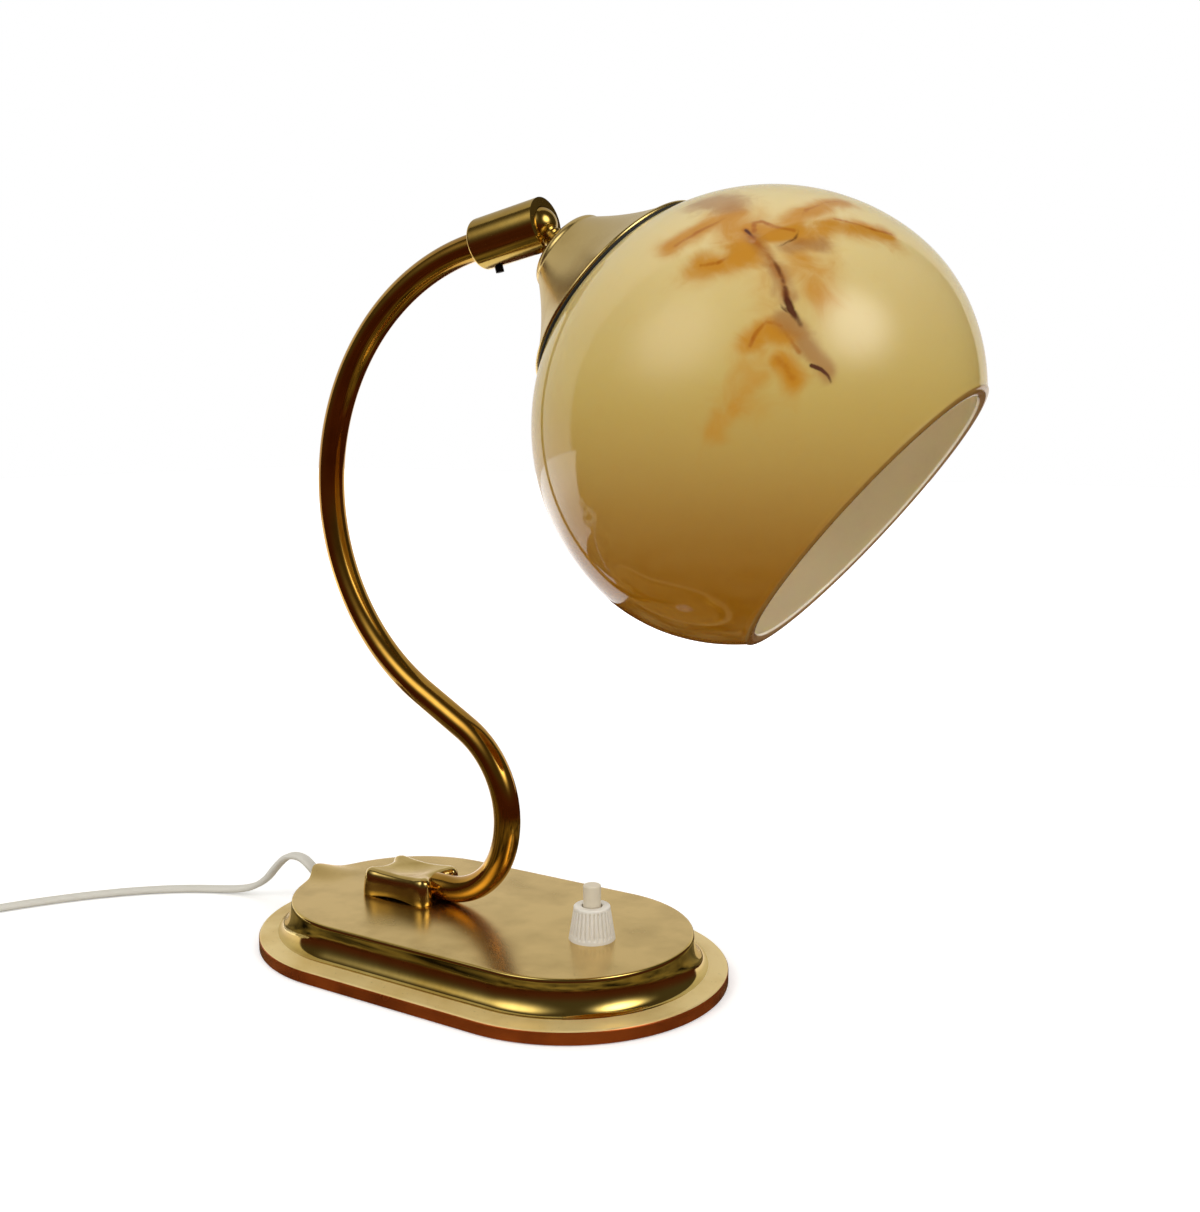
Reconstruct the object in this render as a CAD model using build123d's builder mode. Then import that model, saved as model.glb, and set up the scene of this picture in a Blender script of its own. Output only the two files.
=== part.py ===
from build123d import *
import os
from math import asin, atan, cos, degrees, pi, radians, sin, sqrt, tan

# Brass table lamp: a round-ended base, a swan-neck arm, a slotted ball joint and a glass globe.
# Millimetres. The origin is on the table under the middle of the base. +X runs from the cord end
# of the base to the switch end, +Z is up, and the arm stands in the XZ plane.

# General clearances
close_gap = 0.1
free_gap = 0.3
screw_gap = 0.2

# Base shell, pressed from sheet
base_half_width = 58.0
base_end_spacing = 75.5
sheet = 1.2
rim_lift = 0.4
rim_height = 5.0
rim_round = 1.1
flange_width = 7.3
flange_rise = 0.9
deck_inset = 12.4
deck_height = 17.6

# Cord hood, raised at the rear end of the deck
hood_angle = 40.5
hood_reach = 5.25
hood_tip_drop = 0.1
hood_length = 15.0
hood_root_radius = 8.0
hood_tip_radius = 4.0
hood_tip_round = 0.7

# Underside of the base
felt_thickness = 1.5
plate_thickness = 2.0
plate_gap = 0.6
weight_gap = 1.4
cable_space = 4.9
pillar_radius = 4.0
pillar_spacing_x = 90.0
pillar_spacing_y = 56.0
plate_screw_radius = 1.5
plate_screw_head_radius = 3.0
plate_screw_head_height = 1.4
plate_screw_length = 8.0

# Foot block on the deck
block_x = -36.4
block_length = 33.0
block_width = 24.5
block_height = 10.8
block_draft = 11.0
block_side_hollow = 1.7
block_end_hollow = 3.4
block_corner = 2.6
block_dish = 2.6
block_dish_radius = 59.0
block_foot_hollow = 0.8
block_edge_round = 1.0
block_screw_radius = 2.0
block_screw_head_radius = 3.6
block_screw_head_height = 2.6
block_screw_spacing = 12.0
block_screw_x = -44.5
block_screw_grip = 5.0
wire_hole_radius = 3.7
wire_hole_x = -34.5

# Arm tube
tube_radius = 5.0
tube_wall = 1.0
spigot_radius = 4.2
spigot_length = 9.0
arm_straight_start = 6.3
foot_bend_radius = 27.4
foot_bend_angle = 69.0
low_bend_radius = 38.0
low_bend_angle = 81.1
arm_straight_middle = 23.0
bow_radius = 88.9
bow_angle = 139.1
flex_radius = 3.3

# Ball joint
housing_back = 28.4
housing_bare_run = 2.5
housing_front = 2.6
housing_radius = 9.1
housing_grip = 12.0
housing_rear_round = 1.6
housing_lip_round = 2.5
ball_radius = 6.3
ball_gap = 0.2
bush_length = 12.4
set_screw_back = 20.5
set_screw_radius = 1.5
set_screw_proud = 2.0
seat_length = 6.0
seat_hole_radius = 3.0
spring_wire = 0.9
spring_turns = 3.0
head_turn = 7.5
shade_droop = 51.6
stem_neck_radius = 3.8
stem_thread_radius = 4.9
stem_bore_radius = 2.4
stem_collar_radius = 5.9
stem_collar_length = 1.4
stem_thread_length = 16.0
slot_gap = 0.4

# Bell shaped holder, measured from the ball centre along the shade's axis
bell_top = 11.6
bell_top_radius = 8.6
bell_shoulder = (15.6, 15.2)
bell_waist = (28.0, 25.6)
bell_rim = (40.0, 39.0)
bell_sheet = 1.0
bell_bead_radius = 0.8
stem_nut_radius = 8.0
stem_nut_length = 3.0

# Glass globe
globe_radius = 75.9
globe_back = 74.8
globe_front = 66.7
globe_mouth = 46.9
glass_wall = 3.2
lip_round = 1.3
fitter_hole_radius = 14.8
gasket_inset = 1.4
gasket_width = 3.6
gasket_thickness = 1.6
gasket_gap = 0.15

# Lamp holder and bulb, for a small screw cap
socket_radius = 13.9
socket_wall = 2.2
socket_shoulder = 4.0
socket_length = 50.0
shade_ring_radius = 21.5
shade_ring_length = 8.0
insert_length = 20.0
insert_gap = 0.2
screw_shell_radius = 7.6
screw_shell_wall = 0.5
screw_shell_length = 24.0
contact_radius = 3.0
contact_length = 2.0
bulb_cap_length = 22.0
bulb_cap_gap = 0.2
bulb_neck_radius = 6.4
bulb_neck_length = 9.0
bulb_radius = 22.5
bulb_glass_length = 54.0

# Push switch
switch_x = 49.2
switch_y = -2.5
switch_body_radius = 11.0
switch_clearance = 1.9
switch_pocket_gap = 1.5
switch_neck_radius = 4.95
switch_neck_rise = 9.6
switch_floor = 1.6
switch_chamber_radius = 6.2
switch_chamber_height = 6.4
plunger_radius = 3.2
plunger_top = 19.8
plunger_flange_radius = 4.8
plunger_flange = 1.6
plunger_round = 0.5
nut_bottom_radius = 8.4
nut_top_radius = 6.5
nut_height = 12.2
nut_cap = 1.6
nut_hole_radius = 3.8
nut_foot_band = 1.5
nut_top_band = 1.3
nut_ribs = 28
nut_groove_radius = 0.55
nut_top_round = 0.6
terminal_size = (4.0, 5.0)
push_turns = 2.5
push_wire = 0.6
terminal_spacing = 10.0

# Mains cord, its clamp, coil, tie and plug
cord_radius = 2.6
cord_inner_height = 10.7
cord_gap = 0.6
clamp_inset = 28.25
clamp_length = 8.0
clamp_width = 24.0
clamp_floor = 1.5
clamp_screw_radius = 1.5
clamp_screw_head_radius = 2.8
clamp_screw_head_height = 1.8
clamp_screw_spacing = 16.0
clamp_screw_cover = 1.0
pocket_length = 22.0
pocket_width = 27.0
notch_width = 17.0
lead_radius = 1.6
lead_start_run = 1.5
lead_slant_run = 5.5
lead_side_step = 5.0
lead_end_run = 12.0
lead_end_rise = 1.0
lead_bend = 8.0
coil_inner_radius = 19.4
coil_turns = 4.25
coil_upper_turns = 4.0
coil_pitch = 5.65
coil_layer = 5.75
tie_band = 0.6
tie_width = 7.0
plug_level_run = 13.0
plug_lead = 23.0
plug_lift = 0.1
plug_sleeve_length = 12.0
plug_sleeve_radius = 4.4
plug_length = 30.0
plug_width = 35.0
plug_rear_width = 14.0
plug_thickness = 13.6
plug_corner = 2.5
pin_radius = 2.0
pin_length = 19.0
pin_spacing = 18.6
pin_seat = 4.0

# Heights in the base, from the table up
deck_radius = base_half_width - deck_inset
deck_under = deck_height - sheet
plate_top = felt_thickness + plate_thickness
weight_bottom = plate_top + cable_space
weight_thickness = deck_under - weight_bottom
weight_half_width = deck_radius - sheet - weight_gap
base_end_x = base_end_spacing / 2


def section(plane, *points):
    """Flat face on a plane, bounded by straight lines between points."""
    with BuildSketch(plane) as face:
        with BuildLine():
            Polyline(*points, close=True)
        make_face()
    return face.sketch


def stadium(half_width, bottom, top):
    """Round-ended slab over the base's plan, between two heights."""
    with BuildPart() as slab:
        with BuildSketch(Plane.XY.offset(bottom)):
            SlotCenterToCenter(base_end_spacing, 2 * half_width)
        extrude(amount=top - bottom)
    return slab.part


def base_section(skin, bottom, plane):
    """Half section of the base, skin deep under its outer face: rim, flange, cove and deck."""
    rim = base_half_width - skin
    cove_foot = base_half_width - flange_width
    cove_width = deck_inset - flange_width + skin
    cove_depth = deck_height - rim_height - flange_rise + skin
    top = deck_height - skin
    start = degrees(asin(skin / cove_depth))
    with BuildSketch(plane) as half:
        with BuildLine():
            cove = EllipticalCenterArc(
                (cove_foot, deck_height), cove_width, cove_depth, 180 + start, arc_size=90 - start
            )
            Polyline(cove @ 0, (0, top), (0, bottom), (rim, bottom), (rim, rim_height - skin), cove @ 1)
        make_face()
        if skin == 0:
            fillet(half.vertices().group_by(Axis.X)[-1].sort_by(Axis.Y)[-1], rim_round)
    return half.sketch


def base_solid(skin, bottom):
    """Solid inside the base's outer face, skin deep under it."""
    with BuildPart() as solid:
        extrude(base_section(skin, bottom, Plane.YZ), amount=base_end_x, both=True)
        mirror(about=Plane.XZ)
        for end in (-base_end_x, base_end_x):
            end_axis = Axis((end, 0, 0), (0, 0, 1))
            revolve(base_section(skin, bottom, Plane.YZ.offset(end)), axis=end_axis)
    return solid.part


def biarc(start, start_dir, end, end_dir):
    """Two arcs that leave start along start_dir and reach end along end_dir."""
    chord = end - start
    square = 2 * (1 - start_dir.dot(end_dir))
    slope = 2 * chord.dot(start_dir + end_dir)
    reach = 2 * chord.dot(chord) / (slope + sqrt(slope**2 + 4 * square * chord.dot(chord)))
    first = start + start_dir * reach
    last = end - end_dir * reach
    joint = (first + last) * 0.5
    TangentArc(start, joint, tangent=start_dir)
    TangentArc(joint, end, tangent=last - first)


def wind(place, stations):
    """Biarcs through stations of a winding, each turn, radius, height and their rates per radian."""
    ends = []
    for turn, radius, height, widen, climb in stations:
        out = Vector(cos(turn), sin(turn), 0)
        around = Vector(-sin(turn), cos(turn), 0)
        along = out * widen + around * radius + Vector(0, 0, climb)
        point = place.from_local_coords(out * radius + Vector(0, 0, height))
        tip = place.from_local_coords(out * radius + Vector(0, 0, height) + along)
        ends.append((point, (tip - point).normalized()))
    for (start, start_dir), (end, end_dir) in zip(ends, ends[1:]):
        biarc(start, start_dir, end, end_dir)
    return ends


def self_gap(path, wire, steps_per_turn, turns):
    """Least gap between neighbouring turns of a wire, on points along its path."""
    count = int(steps_per_turn * turns)
    points = [path.position_at(step / count) for step in range(count + 1)]
    apart = int(steps_per_turn * 0.6)
    gaps = []
    for index, point in enumerate(points):
        for other in points[index + apart :]:
            gaps.append((point - other).length - wire)
    return min(gaps)


# Base shell
hood_slope = Vector(-cos(radians(hood_angle)), 0, sin(radians(hood_angle)))
hood_tip = Vector(-base_end_x - deck_radius - hood_reach, 0, deck_height - hood_tip_drop)
hood_plane = Plane(origin=hood_tip - hood_slope * hood_length, x_dir=(0, 1, 0), z_dir=hood_slope)
block_screws_at = [(block_screw_x, side * block_screw_spacing / 2) for side in (-1, 1)]

with BuildPart() as base_shell:
    add(base_solid(0, rim_lift))
    with Locations(hood_plane):
        Cone(hood_root_radius, hood_tip_radius, hood_length, align=(Align.CENTER, Align.CENTER, Align.MIN))
    fillet(base_shell.edges().filter_by(GeomType.CIRCLE).sort_by_distance(hood_tip)[0], hood_tip_round)
    add(base_solid(sheet, -sheet), mode=Mode.SUBTRACT)
    with BuildSketch(Plane.XY):
        SlotCenterToCenter(base_end_spacing, 4 * base_half_width)
    extrude(amount=-base_half_width, mode=Mode.SUBTRACT)
    with Locations(hood_plane):
        Cylinder(cord_radius + cord_gap, 4 * hood_length, mode=Mode.SUBTRACT)
    with Locations((switch_x, switch_y, deck_height)):
        Hole(switch_neck_radius + screw_gap, 2 * sheet)
    with Locations((wire_hole_x, 0, deck_height)):
        Hole(wire_hole_radius, 2 * sheet)
    with Locations(*[(x, y, deck_height) for x, y in block_screws_at]):
        Hole(block_screw_radius + screw_gap, 2 * sheet)

# Cast weight under the deck, with pillars for the bottom plate
clamp_x = -base_end_x - clamp_inset
pocket_x = clamp_x + clamp_length / 2 + pocket_length / 2 - clamp_length
pocket_roof = cord_inner_height + cord_radius + close_gap
clamp_screw_grip = deck_under - pocket_roof - clamp_screw_cover

with BuildPart() as base_weight:
    add(stadium(weight_half_width, weight_bottom, deck_under))
    with BuildSketch(Plane.XY.offset(plate_top)):
        with GridLocations(pillar_spacing_x, pillar_spacing_y, 2, 2):
            Circle(pillar_radius)
    extrude(amount=weight_bottom - plate_top)
    with BuildSketch(Plane.XY.offset(plate_top)):
        with GridLocations(pillar_spacing_x, pillar_spacing_y, 2, 2):
            Circle(plate_screw_radius + close_gap)
    extrude(amount=plate_screw_length, mode=Mode.SUBTRACT)
    with BuildSketch(Plane.XY.offset(weight_bottom)):
        with Locations((switch_x, switch_y)):
            Circle(switch_body_radius + switch_pocket_gap)
        with Locations((wire_hole_x, 0)):
            Circle(wire_hole_radius)
        with Locations(*block_screws_at):
            Circle(block_screw_radius + screw_gap)
        with Locations((-base_end_x - weight_half_width, 0)):
            Rectangle(2 * (weight_half_width + base_end_x + clamp_x - clamp_length / 2), notch_width)
    extrude(amount=weight_thickness, mode=Mode.SUBTRACT)
    with BuildSketch(Plane.XY.offset(weight_bottom)):
        with Locations(*block_screws_at):
            Circle(block_screw_head_radius + screw_gap)
    extrude(amount=block_screw_head_height, mode=Mode.SUBTRACT)
    with BuildSketch(Plane.XY.offset(weight_bottom)):
        with Locations((pocket_x, 0)):
            Rectangle(pocket_length, pocket_width)
    extrude(amount=pocket_roof - weight_bottom, mode=Mode.SUBTRACT)
    with BuildSketch(Plane.XY.offset(pocket_roof)):
        with Locations(*[(clamp_x, side * clamp_screw_spacing / 2) for side in (-1, 1)]):
            Circle(clamp_screw_radius + close_gap)
    extrude(amount=clamp_screw_grip + close_gap, mode=Mode.SUBTRACT)

# Bottom plate, its countersunk screws and the felt
plate_half_width = base_half_width - sheet - plate_gap

with BuildPart() as bottom_plate:
    add(stadium(plate_half_width, felt_thickness, plate_top))
    with Locations(Plane.XY.offset(felt_thickness).rotated((180, 0, 0))):
        with GridLocations(pillar_spacing_x, pillar_spacing_y, 2, 2):
            CounterSinkHole(
                plate_screw_radius + screw_gap, plate_screw_head_radius + screw_gap, plate_thickness, 90
            )


with BuildPart() as plate_screws:
    with Locations(*GridLocations(pillar_spacing_x, pillar_spacing_y, 2, 2).locations):
        with Locations((0, 0, felt_thickness)):
            Cone(
                plate_screw_head_radius,
                plate_screw_radius,
                plate_screw_head_height,
                align=(Align.CENTER, Align.CENTER, Align.MIN),
            )
            Cylinder(
                plate_screw_radius, plate_screw_length, align=(Align.CENTER, Align.CENTER, Align.MIN)
            )

with BuildPart() as felt_pad:
    add(stadium(plate_half_width, 0, felt_thickness))

# Foot block: four lobes with hollow sides and a dished top
block_top = deck_height + block_height


def hollow_radius(width, depth):
    """Radius of the arc that is depth deep over a width."""
    return (width**2 / 4 + depth**2) / (2 * depth)


def block_outline(inset):
    """Points round the block's four-lobed plan, inset from the one at its foot."""
    long = block_length / 2 - inset
    wide = block_width / 2 - inset
    corner = [(long, wide - block_corner), (long - block_corner, wide)]
    quarter = [(long - block_end_hollow, 0), *corner, (0, wide - block_side_hollow)]
    half = quarter + [(-x, y) for x, y in reversed(quarter[:-1])]
    loop = half + [(x, -y) for x, y in reversed(half[1:-1])]
    return [(block_x + x, y) for x, y in loop]


foot_hollow_radius = hollow_radius(block_length - 4 * block_corner, block_foot_hollow)
arm_height = deck_height + tube_radius + screw_gap
spigot_end_x = block_x + block_length / 2 - block_end_hollow - tube_radius * tan(radians(block_draft))

with BuildPart() as foot_block:
    for rise in (0, block_height + block_dish):
        with BuildSketch(Plane.XY.offset(deck_height + rise)):
            with BuildLine():
                Spline(*block_outline(rise * tan(radians(block_draft))), periodic=True)
            make_face()
    loft()
    with Locations((block_x, 0, block_top - block_dish + block_dish_radius)):
        Sphere(block_dish_radius, mode=Mode.SUBTRACT)
    fillet(foot_block.faces().filter_by(GeomType.SPHERE).edges(), block_edge_round)
    foot_hollow_centre = (block_x, 0, deck_height + block_foot_hollow - foot_hollow_radius)
    with Locations(Location(foot_hollow_centre, (90, 0, 0))):
        Cylinder(foot_hollow_radius, 2 * block_width, mode=Mode.SUBTRACT)
    with Locations(Location((spigot_end_x, 0, arm_height), (0, 90, 0))):
        Cylinder(spigot_radius + close_gap, 2 * spigot_length, mode=Mode.SUBTRACT)
        Cylinder(
            tube_radius + free_gap,
            block_length,
            align=(Align.CENTER, Align.CENTER, Align.MIN),
            mode=Mode.SUBTRACT,
        )
    with Locations((wire_hole_x, 0, deck_height)):
        Cylinder(
            wire_hole_radius,
            arm_height - deck_height,
            align=(Align.CENTER, Align.CENTER, Align.MIN),
            mode=Mode.SUBTRACT,
        )
    with Locations(*[(x, y, deck_height) for x, y in block_screws_at]):
        Cylinder(block_screw_radius + close_gap, 2 * (block_screw_grip + screw_gap), mode=Mode.SUBTRACT)

with BuildPart() as block_screws:
    with Locations(*[(x, y, weight_bottom) for x, y in block_screws_at]):
        Cylinder(
            block_screw_head_radius,
            block_screw_head_height,
            align=(Align.CENTER, Align.CENTER, Align.MIN),
        )
        Cylinder(
            block_screw_radius,
            deck_height + block_screw_grip - weight_bottom,
            align=(Align.CENTER, Align.CENTER, Align.MIN),
        )

# Arm: a tube bent in two bows, with a spigot in the foot block
with BuildLine(Plane.XZ) as arm_path:
    start = Line((spigot_end_x, arm_height), (spigot_end_x + arm_straight_start, arm_height))
    foot_bend = JernArc(start @ 1, start % 1, foot_bend_radius, foot_bend_angle)
    low_bend = JernArc(foot_bend @ 1, foot_bend % 1, low_bend_radius, low_bend_angle)
    middle = Line(low_bend @ 1, low_bend @ 1 + (low_bend % 1) * arm_straight_middle)
    bow = JernArc(middle @ 1, middle % 1, bow_radius, -bow_angle)
    grip = Line(bow @ 1, bow @ 1 + (bow % 1) * housing_grip)

with BuildPart() as arm_tube:
    with BuildSketch(Plane(origin=start @ 0, z_dir=start % 0)):
        Circle(tube_radius)
        Circle(tube_radius - tube_wall, mode=Mode.SUBTRACT)
    sweep(path=arm_path.wires()[0])
    with BuildSketch(Plane(origin=start @ 0, z_dir=start % 0)):
        Circle(spigot_radius)
        Circle(tube_radius - tube_wall - free_gap, mode=Mode.SUBTRACT)
    extrude(amount=-spigot_length)

with BuildPart() as arm_flex:
    with BuildSketch(Plane(origin=start @ 0, z_dir=start % 0)):
        Circle(flex_radius)
    sweep(path=arm_path.wires()[0])
    with BuildSketch(Plane(origin=start @ 0, z_dir=start % 0)):
        Circle(flex_radius)
    extrude(amount=-spigot_length)

# Ball joint: directions of the housing, its slot and the shade
head_dir = bow % 1
ball_centre = bow @ 1 + head_dir * housing_back
head_down = Vector(head_dir.Z, 0, -head_dir.X)
slot_dir = head_down * cos(radians(head_turn)) + Vector(0, 1, 0) * sin(radians(head_turn))
tilt_dir = slot_dir.cross(head_dir)
shade_dir = head_dir * cos(radians(shade_droop)) + slot_dir * sin(radians(shade_droop))
shade_out = slot_dir * cos(radians(shade_droop)) - head_dir * sin(radians(shade_droop))
head_plane = Plane(origin=ball_centre, x_dir=head_dir, z_dir=head_dir.cross(slot_dir))
head_axis = Axis(ball_centre, head_dir)
slot_plane = Plane(origin=ball_centre, x_dir=head_dir, z_dir=slot_dir)
shade_plane = Plane(origin=ball_centre, x_dir=shade_dir, z_dir=shade_dir.cross(shade_out))
shade_axis = Axis(ball_centre, shade_dir)
stem_plane = Plane(origin=ball_centre, x_dir=tilt_dir, z_dir=shade_dir)
chamber_radius = ball_radius + ball_gap
housing_rear = housing_bare_run - housing_back
bush_inner = -housing_back + bush_length
slot_radius = stem_neck_radius + slot_gap

with BuildPart() as joint_housing:
    with BuildSketch(head_plane) as wall:
        with BuildLine():
            Polyline(
                (housing_rear, 0),
                (housing_rear, housing_radius),
                (housing_front, housing_radius),
                (housing_front, 0),
                close=True,
            )
        make_face()
        outer = wall.vertices().group_by(Axis.Y)[-1].sort_by(Axis.X)
        fillet(outer[0], housing_rear_round)
        fillet(outer[-1], housing_lip_round)
    revolve(axis=head_axis)
    with BuildSketch(head_plane):
        with BuildLine():
            Polyline(
                (housing_rear, 0), (housing_rear, chamber_radius), (0, chamber_radius), (0, 0), close=True
            )
        make_face()
    revolve(axis=head_axis, mode=Mode.SUBTRACT)
    with Locations(ball_centre):
        Sphere(chamber_radius, mode=Mode.SUBTRACT)
    with BuildSketch(slot_plane):
        Circle(slot_radius)
        with Locations((housing_radius, 0)):
            Rectangle(2 * housing_radius, 2 * slot_radius)
    extrude(amount=2 * housing_radius, mode=Mode.SUBTRACT)
    with BuildSketch(slot_plane):
        with Locations((-set_screw_back, 0)):
            Circle(set_screw_radius + close_gap)
    extrude(amount=2 * housing_radius, mode=Mode.SUBTRACT)

with BuildPart() as housing_bush:
    revolve(
        section(
            head_plane,
            (housing_rear, tube_radius + free_gap),
            (housing_rear, chamber_radius - close_gap),
            (bush_inner, chamber_radius - close_gap),
            (bush_inner, tube_radius + free_gap),
        ),
        axis=head_axis,
    )
    with BuildSketch(slot_plane):
        with Locations((-set_screw_back, 0)):
            Circle(set_screw_radius + close_gap)
    extrude(amount=2 * housing_radius, mode=Mode.SUBTRACT)

with BuildPart() as set_screw:
    with BuildSketch(slot_plane.offset(tube_radius + screw_gap)):
        with Locations((-set_screw_back, 0)):
            Circle(set_screw_radius)
    extrude(amount=housing_radius + set_screw_proud - tube_radius - screw_gap)
    with BuildSketch(slot_plane.offset(housing_radius + set_screw_proud)):
        with Locations((-set_screw_back, 0)):
            Rectangle(set_screw_radius * 2, set_screw_radius / 3)
    extrude(amount=-set_screw_radius / 2, mode=Mode.SUBTRACT)

seat_front = -slot_radius - free_gap
seat_back = seat_front - seat_length

with BuildPart() as spring_seat:
    revolve(
        section(
            head_plane,
            (seat_back, seat_hole_radius),
            (seat_back, chamber_radius - screw_gap),
            (seat_front, chamber_radius - screw_gap),
            (seat_front, seat_hole_radius),
        ),
        axis=head_axis,
    )
    with Locations(ball_centre):
        Sphere(chamber_radius, mode=Mode.SUBTRACT)

spring_radius = chamber_radius - free_gap - spring_wire / 2
spring_rise = seat_back - bush_inner - spring_wire - 2 * close_gap
spring_start = bush_inner + spring_wire / 2 + close_gap
spring_base = Plane(origin=ball_centre + head_dir * spring_start, z_dir=head_dir)
spring_sweep = 2 * pi * spring_turns
spring_rate = spring_rise / spring_sweep
spring_steps = int(4 * spring_turns)

with BuildPart() as ball_spring:
    with BuildLine() as spring_path:
        turns = [spring_sweep * step / spring_steps for step in range(spring_steps + 1)]
        stations = [(turn, spring_radius, spring_rate * turn, 0, spring_rate) for turn in turns]
        ends = wind(spring_base, stations)
    with BuildSketch(Plane(origin=ends[0][0], z_dir=ends[0][1])):
        Circle(spring_wire / 2)
    sweep(path=spring_path.wires()[0])
print("ball spring gap", round(self_gap(spring_path.wires()[0], spring_wire, 36, spring_turns), 2))

collar_top = bell_top - stem_collar_length
stem_tip = bell_top + stem_thread_length

with BuildPart() as ball_stem:
    with Locations(ball_centre):
        Sphere(ball_radius)
    revolve(
        section(
            shade_plane,
            (0, 0),
            (0, stem_neck_radius),
            (collar_top, stem_neck_radius),
            (collar_top, stem_collar_radius),
            (bell_top, stem_collar_radius),
            (bell_top, stem_thread_radius),
            (stem_tip, stem_thread_radius),
            (stem_tip, 0),
        ),
        axis=shade_axis,
    )
    with BuildSketch(stem_plane):
        Circle(stem_bore_radius)
    extrude(amount=2 * stem_tip, both=True, mode=Mode.SUBTRACT)

# Bell shaped holder and the nut that clamps it to the stem
thread_hole = stem_thread_radius + screw_gap
bell_slope = Vector(bell_rim[0] - bell_waist[0], bell_rim[1] - bell_waist[1]).normalized()
bell_skin = (bell_sheet * bell_slope.Y, -bell_sheet * bell_slope.X)


def bell_inner(point):
    """Point on the inside of the bell's sheet."""
    return (point[0] + bell_skin[0], point[1] + bell_skin[1])


with BuildPart() as bell_holder:
    with BuildSketch(shade_plane):
        with BuildLine():
            Polyline((bell_top, thread_hole), (bell_top, bell_top_radius))
            ThreePointArc(
                (bell_top, bell_top_radius),
                (
                    bell_top + (bell_shoulder[0] - bell_top) * (1 - cos(pi / 4)),
                    bell_top_radius + (bell_shoulder[1] - bell_top_radius) * sin(pi / 4),
                ),
                bell_shoulder,
            )
            ThreePointArc(bell_shoulder, bell_waist, bell_rim)
            Line(bell_rim, bell_inner(bell_rim))
            ThreePointArc(bell_inner(bell_rim), bell_inner(bell_waist), bell_inner(bell_shoulder))
            Polyline(
                bell_inner(bell_shoulder),
                (bell_top + bell_sheet, bell_top_radius),
                (bell_top + bell_sheet, thread_hole),
                (bell_top, thread_hole),
            )
        make_face()
    revolve(axis=shade_axis)
    with BuildSketch(shade_plane):
        with Locations((bell_rim[0] + bell_skin[0] / 2, bell_rim[1] + bell_skin[1] / 2)):
            Circle(bell_bead_radius)
    revolve(axis=shade_axis)

nut_start = bell_top + bell_sheet + close_gap
nut_end = nut_start + stem_nut_length

with BuildPart() as stem_nut:
    with BuildSketch(stem_plane.offset(nut_start)):
        RegularPolygon(stem_nut_radius, 6)
        Circle(stem_thread_radius + close_gap, mode=Mode.SUBTRACT)
    extrude(amount=stem_nut_length)

# Black gasket between the bell's rim and the glass, which sets where the globe sits
gasket_outer_radius = bell_rim[1] - gasket_inset
gasket_inner_radius = gasket_outer_radius - gasket_width


def bell_inside_at(radius):
    """Distance along the axis of the bell's inner face, which is an arc in section."""
    near = Vector(*bell_inner(bell_shoulder))
    middle = Vector(*bell_inner(bell_waist))
    far = Vector(*bell_inner(bell_rim))
    side = middle - near
    chord = far - near
    twice_area = 2 * (side.X * chord.Y - side.Y * chord.X)
    across = (chord.Y * side.dot(side) - side.Y * chord.dot(chord)) / twice_area
    up = (side.X * chord.dot(chord) - chord.X * side.dot(side)) / twice_area
    reach = sqrt(across**2 + up**2)
    rise = radius - near.Y - up
    return near.X + across + sqrt(reach**2 - rise**2)


globe_seat = bell_inside_at(gasket_inner_radius) + 2 * gasket_gap + gasket_thickness
globe_distance = globe_seat + globe_back * sqrt(1 - (gasket_inner_radius / globe_radius) ** 2)
print("globe distance", round(globe_distance, 3))

def globe_back_at(radius, wall):
    """Distance along the axis where the globe's back half has a radius."""
    return globe_distance - (globe_back - wall) * sqrt(1 - (radius / (globe_radius - wall)) ** 2)


with BuildPart() as gasket_ring:
    revolve(
        section(
            shade_plane,
            (bell_inside_at(gasket_inner_radius) + gasket_gap, gasket_inner_radius),
            (bell_inside_at(gasket_outer_radius) + gasket_gap, gasket_outer_radius),
            (globe_back_at(gasket_outer_radius, 0) - gasket_gap, gasket_outer_radius),
            (globe_back_at(gasket_inner_radius, 0) - gasket_gap, gasket_inner_radius),
        ),
        axis=shade_axis,
    )

# Glass globe: two half ellipsoids of revolution, open at the fitter hole and at the mouth
mouth = globe_distance + globe_mouth
mouth_angle = degrees(asin(globe_mouth / globe_front))
inner_mouth_angle = degrees(asin(globe_mouth / (globe_front - glass_wall)))
hole_angle = degrees(asin(fitter_hole_radius / globe_radius))
inner_hole_angle = degrees(asin(fitter_hole_radius / (globe_radius - glass_wall)))

with BuildPart() as glass_shade:
    with BuildSketch(shade_plane) as glass_section:
        with BuildLine():
            centre = (globe_distance, 0)
            back = EllipticalCenterArc(centre, globe_back, globe_radius, 90, arc_size=90 - hole_angle)
            front = EllipticalCenterArc(
                centre, globe_front, globe_radius, 90 - mouth_angle, arc_size=mouth_angle
            )
            back_in = EllipticalCenterArc(
                centre,
                globe_back - glass_wall,
                globe_radius - glass_wall,
                90,
                arc_size=90 - inner_hole_angle,
            )
            front_in = EllipticalCenterArc(
                centre,
                globe_front - glass_wall,
                globe_radius - glass_wall,
                90 - inner_mouth_angle,
                arc_size=inner_mouth_angle,
            )
            Line(back @ 1, back_in @ 1)
            Line(front @ 0, front_in @ 0)
        make_face()
        fillet(glass_section.vertices().sort_by(Axis.X)[-2:], lip_round)
    revolve(axis=shade_axis)

# Lamp holder: shell, shade ring, insert, screw shell and centre contact
socket_start = nut_end + close_gap
socket_end = socket_start + socket_length
socket_bore = socket_radius - socket_wall
insert_start = socket_start + socket_wall
insert_end = max(insert_start, stem_tip + close_gap) + insert_length

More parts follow.
